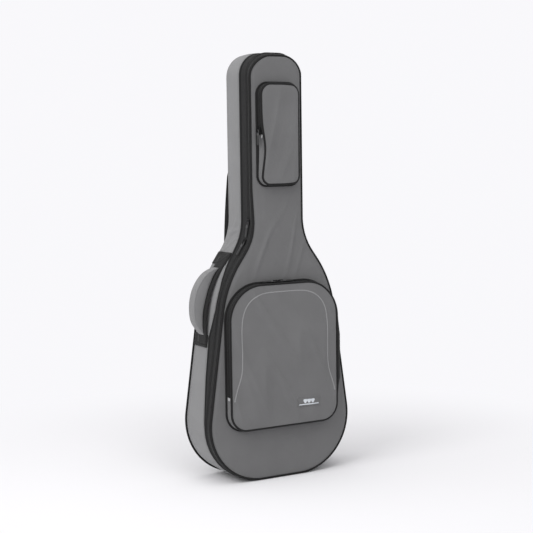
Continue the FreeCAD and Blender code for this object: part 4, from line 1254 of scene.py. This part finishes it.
def grip_section(s, sides=36):
    """Rounded section of the half-moon grip at s: points (outwards, y)."""
    half = HANDLE_SPAN / 2
    far = abs(s - half) / (half - 0.001)
    ending = math.sqrt(max(1 - far ** 9, 0.0))
    inner = bow_at(s, WEBBING_BOW) + 0.0016
    profile = float(np.interp(s / HANDLE_SPAN, GRIP_FINE, GRIP_CURVE))
    outer = inner + max(profile - inner, 0.0012) * ending
    middle, reach = (inner + outer) / 2, max((outer - inner) / 2, 0.0006)
    width = GRIP_HALF * (0.86 + 0.14 * ending)
    pts = []
    for k in range(sides):
        angle = 2 * math.pi * k / sides
        c, d = math.cos(angle), math.sin(angle)
        power = 0.42
        x = math.copysign(abs(c) ** power, c)
        y = math.copysign(abs(d) ** power, d)
        crown = 1 + 0.03 * (1 - abs(y)) if c > 0 else 1
        pts.append((middle + reach * x * crown, HANDLE_Y + width * y))
    return pts


def make_grip():
    places = HANDLE_SPAN / 2 * (1 - np.cos(np.linspace(0.10, math.pi - 0.10, 48)))
    rings = []
    for s in places:
        ring = []
        for out, y in grip_section(s):
            x, z = handle_point(s, out)
            puff = noise.noise(Vector((x * 40, y * 30, z * 22))) * 0.0012
            ring.append((x + puff * SWING_OUT.x, y + puff * 0.6, z + puff * SWING_OUT.z))
        rings.append(ring)
    sides = len(rings[0])
    vertices = [v for ring in rings for v in ring]
    faces = ring_faces(len(rings), sides)
    obj = fix_normals(new_object("handle_pad", vertices, faces, ["side"]))
    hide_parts("handle_grip")
    return obj


def make_grip_seams():
    """Welts where the grip's outer face meets its half-moon sides."""
    made = []
    for sign, name in ((-1, "front"), (1, "back")):
        centres = []
        for s in HANDLE_SPAN / 2 * (1 - np.cos(np.linspace(0.22, math.pi - 0.22, 60))):
            section = grip_section(s)
            out = max(p[0] for p in section)
            reach = max(sign * (p[1] - HANDLE_Y) for p in section)
            x, z = handle_point(s, out - 0.0026)
            centres.append((x, HANDLE_Y + sign * (reach - 0.0012), z))
        obj = tube("handle_welt_" + name, centres, 0.0011, "side")
        made.append(obj)
    return tuple(made)


def tube(name, centres, radius, key, sides=8, loop=False):
    """Round tube along points in space."""
    pts = np.asarray(centres, float)
    if loop:
        along = np.roll(pts, -1, 0) - np.roll(pts, 1, 0)
    else:
        along = np.gradient(pts, axis=0)
    along /= np.linalg.norm(along, axis=1)[:, None]
    reference = np.array([0.31, 0.93, 0.17])
    first = np.cross(along, reference)
    first /= np.linalg.norm(first, axis=1)[:, None]
    second = np.cross(along, first)
    vertices = []
    for p, a, b in zip(pts, first, second):
        for k in range(sides):
            angle = 2 * math.pi * k / sides
            vertices.append(p + a * radius * math.cos(angle) + b * radius * math.sin(angle))
    return fix_normals(new_object(name, vertices, ring_faces(len(pts), sides, loop), [key]))


def make_bands():
    y1 = BACK_PIPING_FRONT
    for name in ("lower", "upper"):
        low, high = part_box("handle_band_" + name)
        y0 = TAPE_REAR + 0.0004 + float(seam_shift((low.z + high.z) / 2))
        points, normals = ALL
        chosen = (points[:, 0] < 0) & (points[:, 1] > low.z + 0.0005) & (points[:, 1] < high.z - 0.0005)
        path = (points[chosen], normals[chosen])
        profile = slab_profile(0.0024, 0.0022, y0, y1, steps=14)

        def follow(pts, reach, depth):
            x = np.repeat(pts[:, :1], reach.shape[1], 1)
            z = np.repeat(pts[:, 1:], reach.shape[1], 1)
            wave = np.sin(math.pi * np.clip((depth - TAPE_REAR) / (BACK - TAPE_REAR), 0, 1))
            return reach + side_belly(depth) + side_relief(x, depth, z) * wave, depth

        obj = sweep("handle_sling_" + name, path, profile, ["webbing"], loop=False, shape=follow)
        finish_piece(obj, "shell", "black_webbing", "handle_band_" + name)
        pts, nrm = path

        def stitch_at(k, y, along):
            lift = float(side_belly(np.array([y]))[0]) + 0.0026
            return ((pts[k][0] + nrm[k][0] * lift, y, pts[k][1] + nrm[k][1] * lift), along,
                    (nrm[k][0], 0, nrm[k][1]))

        places = [stitch_at(k, y, (0, 1, 0)) for y in np.arange(y0 + 0.004, y1 - 0.003, 0.0034)
                  for k in (1, len(pts) - 2)]
        places += [stitch_at(k, y, (-nrm[k][1], 0, nrm[k][0]))
                   for y in (HANDLE_Y - 0.015, HANDLE_Y + 0.015) for k in range(1, len(pts) - 1)]
        ride_on(stitches("sling_stitches_" + name, places, 0.0026, "thread"), "shell")


# ------------------------------------------------------------------ shoulder straps

STRAP_TOP = 0.818
STRAP_ACROSS = 0.033
STRAP_LEAN = math.radians(2.5)
STRAP_LENGTH = 0.388
STRAP_FOOT = 0.022
STRAP_BOW = 0.012
WEBBING_LEAN = math.radians(17.4)
LOCK_END = 0.032
WEBBING_LENGTH = 0.300
PATCH = 0.0015


def strap_place(side):
    return Matrix.Translation((side * STRAP_ACROSS, 0, STRAP_TOP)) @ Matrix.Rotation(
        -side * STRAP_LEAN, 4, "Y")


def webbing_place(side):
    end = strap_place(side) @ Vector((0, 0, -STRAP_LENGTH))
    return Matrix.Translation(end) @ Matrix.Rotation(-side * WEBBING_LEAN, 4, "Y")


def strap_section(down):
    """Inner face, outer face and half width of a strap's pad at a distance down from its top."""
    chord = STRAP_LENGTH - STRAP_FOOT
    radius = (chord ** 2 / 4 + STRAP_BOW ** 2) / (2 * STRAP_BOW)
    off = down - STRAP_FOOT - chord / 2
    bow = max(math.sqrt(radius ** 2 - off ** 2) - (radius - STRAP_BOW), 0)
    blend = min(max((down - STRAP_FOOT) / 0.03, 0), 1)
    blend = blend * blend * (3 - 2 * blend)
    inner = BACK + PATCH + (0.0035 + bow) * blend
    thick = 0.0042 + 0.0062 * blend
    ending = (STRAP_LENGTH - down) / 0.022
    if ending < 1:
        thick *= 0.55 + 0.45 * math.sqrt(max(ending, 0))
    half = 0.0300 if ending > 1 else 0.0300 - 0.008 * (1 - math.sqrt(max(1 - (1 - ending) ** 2, 0)))
    return inner, inner + thick, half


def make_strap_pad(side, name):
    downs = np.linspace(0.0005, STRAP_LENGTH - 0.0005, 100)
    sides = 40
    rings = []
    place = strap_place(side)
    for down in downs:
        inner, outer, half = strap_section(down)
        middle, reach = (inner + outer) / 2, (outer - inner) / 2
        ring = []
        for k in range(sides):
            angle = 2 * math.pi * k / sides
            c, s = math.cos(angle), math.sin(angle)
            x = half * math.copysign(abs(c) ** 0.55, c)
            y = reach * math.copysign(abs(s) ** 0.75, s)
            groove = sum(math.exp(-((x - at) / 0.0016) ** 2) for at in (-0.010, 0.010))
            y *= 1 - 0.26 * groove * min(1, (down - STRAP_FOOT) / 0.03 if down > STRAP_FOOT else 0)
            puff = noise.noise(Vector((x * 45 + side, y * 10, down * 38))) * 0.0007
            ring.append(place @ Vector((x, middle + y + (puff if s > 0 else 0), -down)))
        rings.append(ring)
    vertices = [v for ring in rings for v in ring]
    under = [int(math.sin(2 * math.pi * (j + 0.5) / sides) < -0.35) for j in range(sides)]
    marks = under * (len(rings) - 1) + [0, 0]
    faces = ring_faces(len(rings), sides)
    obj = fix_normals(new_object("strap_pad_" + name, vertices, faces, ["strap", "mesh"], marks))
    refine(obj)
    finish_piece(obj, "shell", "strap_fabric", "shoulder_strap_" + name)
    make_strap_edges(name, place)


def make_strap_edges(name, place):
    """Binding round the edge of a strap's pad, and its quilting and foot stitches."""
    downs = list(np.linspace(0.003, STRAP_LENGTH - 0.003, 110))
    centres = []
    for sign in (1, -1):
        for down in (downs if sign == 1 else reversed(downs)):
            inner, outer, half = strap_section(down)
            centres.append(place @ Vector((sign * (half - 0.0006), (inner + outer) / 2, -down)))
        if sign == 1:
            inner, outer, half = strap_section(STRAP_LENGTH - 0.003)
            for share in np.linspace(0.9, -0.9, 12):
                centres.append(place @ Vector((share * (half - 0.0006), (inner + outer) / 2,
                                               -STRAP_LENGTH + 0.0012)))
    binding = tube("strap_binding_" + name, centres, 0.0021, "binding")
    ride_on(binding, "shell")
    places = []
    for at in (-0.010, 0.010):
        for down in np.arange(STRAP_FOOT + 0.02, STRAP_LENGTH - 0.02, 0.0048):
            inner, outer, half = strap_section(down)
            top = (inner + outer) / 2 + (outer - inner) / 2 * 0.70
            places.append((place @ Vector((at, top, -down)), place.to_3x3() @ Vector((0, 0, 1)), (0, 1, 0)))
    for z in (0.005, 0.017):
        for x in np.arange(-0.026, 0.0261, 0.004):
            inner, outer, half = strap_section(z)
            places.append((place @ Vector((x, outer - 0.0002, -z)), (1, 0, 0), (0, 1, 0)))
    ride_on(stitches("strap_stitches_" + name, places, 0.003, "thread"), "shell")


def make_strap_webbing(side, name):
    place = webbing_place(side)
    rear = BACK + 0.005 + 0.005
    path = []
    for down in np.linspace(0.006, LOCK_END + WEBBING_LENGTH, 70):
        share = min(max((down - LOCK_END) / WEBBING_LENGTH, 0), 1)
        sag = 0.0016 * math.sin(math.pi * share) * math.sin(3 * math.pi * share + side)
        path.append((rear + (BACK + PATCH + 0.001 - rear) * share ** 0.9 + sag, -down))
    foot = LOCK_END + WEBBING_LENGTH
    path += [(BACK + PATCH + 0.001, -foot - d) for d in np.linspace(0.002, STRAP_FOOT - 0.0005, 8)]
    profile = [(-0.0125, -0.0006), (-0.0119, -0.001), (0.0, -0.001), (0.0119, -0.001), (0.0125, -0.0006),
               (0.0125, 0.0006), (0.0119, 0.001), (0.0, 0.001), (-0.0119, 0.001), (-0.0125, 0.0006)]
    pts = np.array(path)
    along = np.gradient(pts, axis=0)
    along /= np.linalg.norm(along, axis=1)[:, None]
    vertices = []
    for (y, z), (ty, tz) in zip(pts, along):
        for x, h in profile:
            vertices.append(place @ Vector((x, y - tz * h, z + ty * h)))
    faces = ring_faces(len(pts), len(profile))
    obj = fix_normals(new_object("strap_tail_" + name, vertices, faces, ["webbing"]))
    finish_piece(obj, "shell", "black_webbing", "strap_webbing_" + name)
    places = []
    top, bottom = foot + 0.004, foot + STRAP_FOOT - 0.004
    for k in range(11):
        share = k / 10
        for a, b in (((-0.009, top), (0.009, bottom)), ((0.009, top), (-0.009, bottom)),
                     ((-0.009, top), (0.009, top)), ((-0.009, bottom), (0.009, bottom)),
                     ((-0.009, top), (-0.009, bottom)), ((0.009, top), (0.009, bottom))):
            x, down = a[0] + (b[0] - a[0]) * share, a[1] + (b[1] - a[1]) * share
            direction = place.to_3x3() @ Vector((b[0] - a[0], 0, a[1] - b[1]))
            places.append((place @ Vector((x, BACK + PATCH + 0.0021, -down)), direction, (0, 1, 0)))
    ride_on(stitches("strap_tail_stitches_" + name, places, 0.0018, "thread"), "shell")


def rounded_rectangle(x0, x1, y0, y1, corner, steps=4):
    """Outline with rounded corners, anticlockwise from the right-hand side."""
    points = []
    for k in range(4):
        cx = x1 - corner if k in (0, 3) else x0 + corner
        cy = y1 - corner if k in (0, 1) else y0 + corner
        for turn in range(steps + 1):
            points.append(polar((cx, cy), corner, math.pi / 2 * (k + turn / steps)))
    return points


def square(place, up, half_x, half_z, corner=0.004):
    """Rounded rectangle outline in (x, z), centred at a height on a strap's own axes."""
    spots = [place @ Vector((x, 0, up + z))
             for x, z in rounded_rectangle(-half_x, half_x, -half_z, half_z, corner)]
    return [(spot.x, spot.z) for spot in spots]


def make_patches():
    foot = LOCK_END + WEBBING_LENGTH + STRAP_FOOT / 2
    for side, name in ((-1, "left"), (1, "right")):
        outline = square(webbing_place(side), -foot, 0.020, 0.020)
        obj = rounded_block("tab_patch_" + name, outline, BACK - 0.0008, BACK + PATCH, "strap", 0.0007)
        finish_piece(obj, "shell", "lining", "strap_tab_patches")
    low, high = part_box("strap_top_patch")
    centre = Matrix.Translation((0, 0, (low.z + high.z) / 2))
    outline = square(centre, 0, (high.x - low.x) / 2, (high.z - low.z) / 2, 0.006)
    obj = rounded_block("top_patch", outline, BACK - 0.0008, BACK + PATCH, "strap", 0.0007)
    finish_piece(obj, "shell", "lining", "strap_top_patch")
    places = []
    half_x, half_z = (high.x - low.x) / 2 - 0.003, (high.z - low.z) / 2 - 0.003
    z0 = (low.z + high.z) / 2
    for x in np.arange(-half_x, half_x, 0.0042):
        for sign in (-1, 1):
            places.append(((x, BACK + PATCH + 0.0001, z0 + sign * half_z), (1, 0, 0), (0, 1, 0)))
    for z in np.arange(-half_z, half_z, 0.0042):
        for sign in (-1, 1):
            places.append(((sign * half_x, BACK + PATCH + 0.0001, z0 + z), (0, 0, 1), (0, 1, 0)))
    ride_on(stitches("top_patch_stitches", places, 0.0028, "thread"), "shell")


# ------------------------------------------------------------------ sliders, pulls and buckles

def bevelled(node, key, width):
    """Give a CAD node its material and soften its edges."""
    obj = frame["nodes"][node]
    obj.data.materials.clear()
    obj.data.materials.append(MATERIALS[key])
    modifier = obj.modifiers.new("edges", "BEVEL")
    modifier.width = width
    modifier.segments = 3
    modifier.limit_method = "ANGLE"


def rounded_bar(length, width, thick, corner, key, name, place, ribs=0):
    """Flat bar with a rounded outline and rolled edges, along +X from the origin of its place."""
    pts = np.array(rounded_rectangle(0, length, -width / 2, width / 2, corner, steps=6))
    middle = pts.mean(0)
    roll = min(thick * 0.35, corner * 0.5)
    rings = []
    for z, pull in ((-thick / 2, roll), (-thick / 2 + 0.3 * roll, 0.3 * roll), (-thick / 2 + roll, 0),
                    (thick / 2 - roll, 0), (thick / 2 - 0.3 * roll, 0.3 * roll), (thick / 2, roll)):
        scale = 1 - pull / np.maximum(np.linalg.norm(pts - middle, axis=1), 1e-6)
        rings.append([(q[0], q[1], z) for q in middle + (pts - middle) * scale[:, None]])
    count = len(pts)
    vertices = [place @ Vector(v) for ring in rings for v in ring]
    faces = ring_faces(len(rings), count, caps=False)
    last = (len(rings) - 1) * count
    faces.append(tuple(reversed(range(count))))
    faces.append(tuple(last + i for i in range(count)))
    for r in range(ribs):
        at = length * (0.36 + 0.5 * r / max(ribs - 1, 1))
        base = len(vertices)
        for sign in (-1, 1):
            for dx, dz in ((-0.0008, 0), (-0.0004, 0.0004), (0.0004, 0.0004), (0.0008, 0)):
                for dy in (-width * 0.36, width * 0.36):
                    vertices.append(place @ Vector((at + dx, dy, sign * (thick / 2 - 0.0001 + dz))))
        for face in range(2):
            b = base + face * 8
            for k in range(3):
                faces.append((b + 2 * k, b + 2 * k + 1, b + 2 * k + 3, b + 2 * k + 2))
            faces.append((b, b + 6, b + 7, b + 1))
            faces.append((b, b + 2, b + 4, b + 6))
            faces.append((b + 1, b + 7, b + 5, b + 3))
    return fix_normals(new_object(name, vertices, faces, [key]))


EYE_LENGTH, EYE_WIDTH, EYE_BAR = 0.010, 0.0092, 0.0008
PULL_LENGTH = 0.0376


def make_pull(name):
    """Metal eye and rubber tab of a zip pull, hanging from its joint's axis."""
    joint = next(j for j in frame["joints"] if j["child"] == name)
    pivot, across = Vector(joint["pos_m"]), Vector(joint["axis"]).normalized()
    low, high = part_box(name)
    along = (low + high) / 2 - pivot
    along = (along - across * along.dot(across)).normalized()
    facing = along.cross(across)
    place = Matrix((along, across, facing)).transposed().to_4x4()
    place.translation = pivot
    half = EYE_WIDTH / 2 - EYE_BAR
    corner = 0.0016
    ring = [place @ Vector((x, y, 0))
            for x, y in rounded_rectangle(0, EYE_LENGTH - EYE_BAR, -half, half, corner)]
    eye = tube(name + "_eye", ring, EYE_BAR * 0.95, "bright", loop=True)
    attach(eye, name)
    tab_place = place @ Matrix.Translation((EYE_LENGTH - 0.0022, 0, 0))
    tab = rounded_bar(PULL_LENGTH - EYE_LENGTH + 0.0022, 0.0074, 0.0024, 0.0024, "rubber", name + "_tab",
                      tab_place, ribs=6)
    finish_piece(tab, name, "pull_rubber", name)
    cap = rounded_bar(0.006, 0.0084, 0.0030, 0.0016, "bright", name + "_clasp", tab_place)
    ride_on(cap, name)


def make_hardware():
    for joint in frame["joints"]:
        if "_pull" in joint["child"]:
            make_pull(joint["child"])
            bevelled(joint["parent"], "metal", 0.0006)
    for name in ("ladder_lock_left", "ladder_lock_right"):
        bevelled(name, "buckle", 0.0009)


def bar_tack(name, centre, across, along, normal, count=9, width=0.010, gap=0.0009):
    """Close zigzag of thread that ends a zip."""
    places = []
    across, along = Vector(across), Vector(along)
    for k in range(count):
        spot = Vector(centre) + along * gap * (k - count / 2)
        places.append((spot, across, normal))
    return stitches(name, places, width, "tack", 0.0005)


TACK_DROP = 0.0035      # how far below a pocket's fold its bar tacks lie


def tack_shift(side, runs, pocket):
    """How far a bar tack moves in with its pocket's wall."""
    inwards = pinch_at(np.array(side * runs["half"]), np.array(pocket.fold - TACK_DROP))
    return float(inwards) * min(1.0, (FRONT - pocket.face) / 2 / PINCH_FADE)


def make_tacks(pocket, runs, name):
    for side, word in ((-1, "left"), (1, "right")):
        spot = (side * (runs["half"] - 0.0038 - tack_shift(side, runs, pocket)),
                (FRONT + pocket.face) / 2, pocket.fold - TACK_DROP)
        tack = bar_tack("%s_tack_%s" % (name, word), spot, (0, 1, 0), (0, 0, 1), (side, 0, 0))
        ride_on(tack, "lid")


# ------------------------------------------------------------------ the room

WORLD_STRENGTH = 0.42
BACKDROP = (0.945, 0.94, 0.965, 1)
SUN_STRENGTH = 1.5
LIGHTS = (
    ("key", (-3.2, -1.2, 2.6), (0, 0, 0.5), (2.2, 2.2), 66),
    ("front", (-0.4, -4.2, 2.4), (0, 0, 0.55), (2.5, 2.0), 38),
)
AZIMUTH = math.radians(-29.94)
PITCH = math.radians(5.2)
ROLL = math.radians(-0.8)
DISTANCE = 3.2
TARGET = Vector((0.0010, 0, 0.5394))
LENS = 83.9
FRAME_SHIFT = -0.0012


def make_floor():
    """Wide floor that fades into the backdrop's colour away from the bag."""
    mesh = bpy.data.meshes.new("floor")
    size = 30.0
    mesh.from_pydata([(-size, -size, 0), (size, -size, 0), (size, size, 0), (-size, size, 0)], [],
                     [(0, 1, 2, 3)])
    floor = scene_object("floor", mesh)
    n = Nodes("floor_paint")
    n.shader.inputs["Base Color"].default_value = (0.86, 0.855, 0.87, 1)
    n.shader.inputs["Roughness"].default_value = 0.9
    n.shader.inputs["Specular IOR Level"].default_value = 0.1
    fade = n.add("ShaderNodeMapRange", interpolation_type="SMOOTHSTEP")
    fade.inputs["From Min"].default_value = 0.45
    fade.inputs["From Max"].default_value = 1.25
    span = n.add("ShaderNodeVectorMath", operation="LENGTH")
    n.link(n.coordinates(), span.inputs[0])
    n.link(span.outputs["Value"], fade.inputs["Value"])
    glow = n.add("ShaderNodeEmission")
    glow.inputs[0].default_value = BACKDROP
    joined = n.add("ShaderNodeMixShader")
    n.link(fade.outputs[0], joined.inputs[0])
    n.link(n.shader.outputs[0], joined.inputs[1])
    n.link(glow.outputs[0], joined.inputs[2])
    n.link(joined.outputs[0], n.tree.nodes["Material Output"].inputs["Surface"])
    mesh.materials.append(n.material)


def make_world():
    """Even light from all round; the camera sees the plain backdrop instead."""
    world = bpy.data.worlds.new("studio")
    bpy.context.scene.world = world
    world.use_nodes = True
    tree = world.node_tree
    background = tree.nodes["Background"]
    background.inputs[0].default_value = (0.95, 0.945, 0.965, 1)
    background.inputs[1].default_value = WORLD_STRENGTH
    backdrop = tree.nodes.new("ShaderNodeBackground")
    backdrop.inputs[0].default_value = BACKDROP
    choice = tree.nodes.new("ShaderNodeMixShader")
    path = tree.nodes.new("ShaderNodeLightPath")
    tree.links.new(path.outputs["Is Camera Ray"], choice.inputs[0])
    tree.links.new(background.outputs[0], choice.inputs[1])
    tree.links.new(backdrop.outputs[0], choice.inputs[2])
    tree.links.new(choice.outputs[0], tree.nodes["World Output"].inputs["Surface"])


def make_lights():
    sun = bpy.data.lights.new("overhead", "SUN")
    sun.energy = SUN_STRENGTH
    sun.angle = math.radians(70)
    lamp = scene_object("overhead", sun)
    lamp.rotation_euler = (math.radians(12), math.radians(-14), 0)
    for name, place, aim, size, power in LIGHTS:
        data = bpy.data.lights.new(name, "AREA")
        data.shape = "RECTANGLE"
        data.size, data.size_y = size
        data.energy = power
        lamp = scene_object(name, data)
        lamp.location = place
        lamp.rotation_euler = (Vector(aim) - Vector(place)).to_track_quat("-Z", "Y").to_euler()


def make_camera():
    data = bpy.data.cameras.new("camera")
    data.lens = LENS
    data.sensor_width = 36
    data.shift_y = FRAME_SHIFT
    data.clip_end = 60
    camera = scene_object("camera", data)
    forward = Vector((-math.sin(AZIMUTH) * math.cos(PITCH), math.cos(AZIMUTH) * math.cos(PITCH),
                      -math.sin(PITCH)))
    camera.location = TARGET - forward * DISTANCE
    turn = forward.to_track_quat("-Z", "Y") @ Quaternion((0, 0, 1), ROLL)
    camera.rotation_euler = turn.to_euler()
    bpy.context.scene.camera = camera


# ------------------------------------------------------------------ putting it together

make_camera()
make_floor()
make_world()
make_lights()
make_gusset()
make_panels()
make_shell_trim()
make_seams()
front_pocket = make_pocket("front_pocket", "front_flap", FRONT_POCKET, 0.0062,
                           pocket_relief(0.35, 0.0048, 2.0), 56, 0.0075)
make_reflective_line(front_pocket)
make_label(front_pocket)
finish_pocket(front_pocket)
neck_pocket = make_pocket("neck_pocket", "neck_flap", NECK_POCKET, 0.0030,
                          pocket_relief(-0.2, 0.0030, 6.0), 34, 0.0055)
finish_pocket(neck_pocket)
make_tacks(front_pocket, FRONT_POCKET, "front")
make_tacks(neck_pocket, NECK_POCKET, "neck")
make_end_block()
make_neck_rest()
make_neck_strap()
make_handle()
for strap_side, strap_name in ((-1, "left"), (1, "right")):
    make_strap_pad(strap_side, strap_name)
    make_strap_webbing(strap_side, strap_name)
make_patches()
make_hardware()
bpy.context.scene.view_settings.view_transform = "Standard"
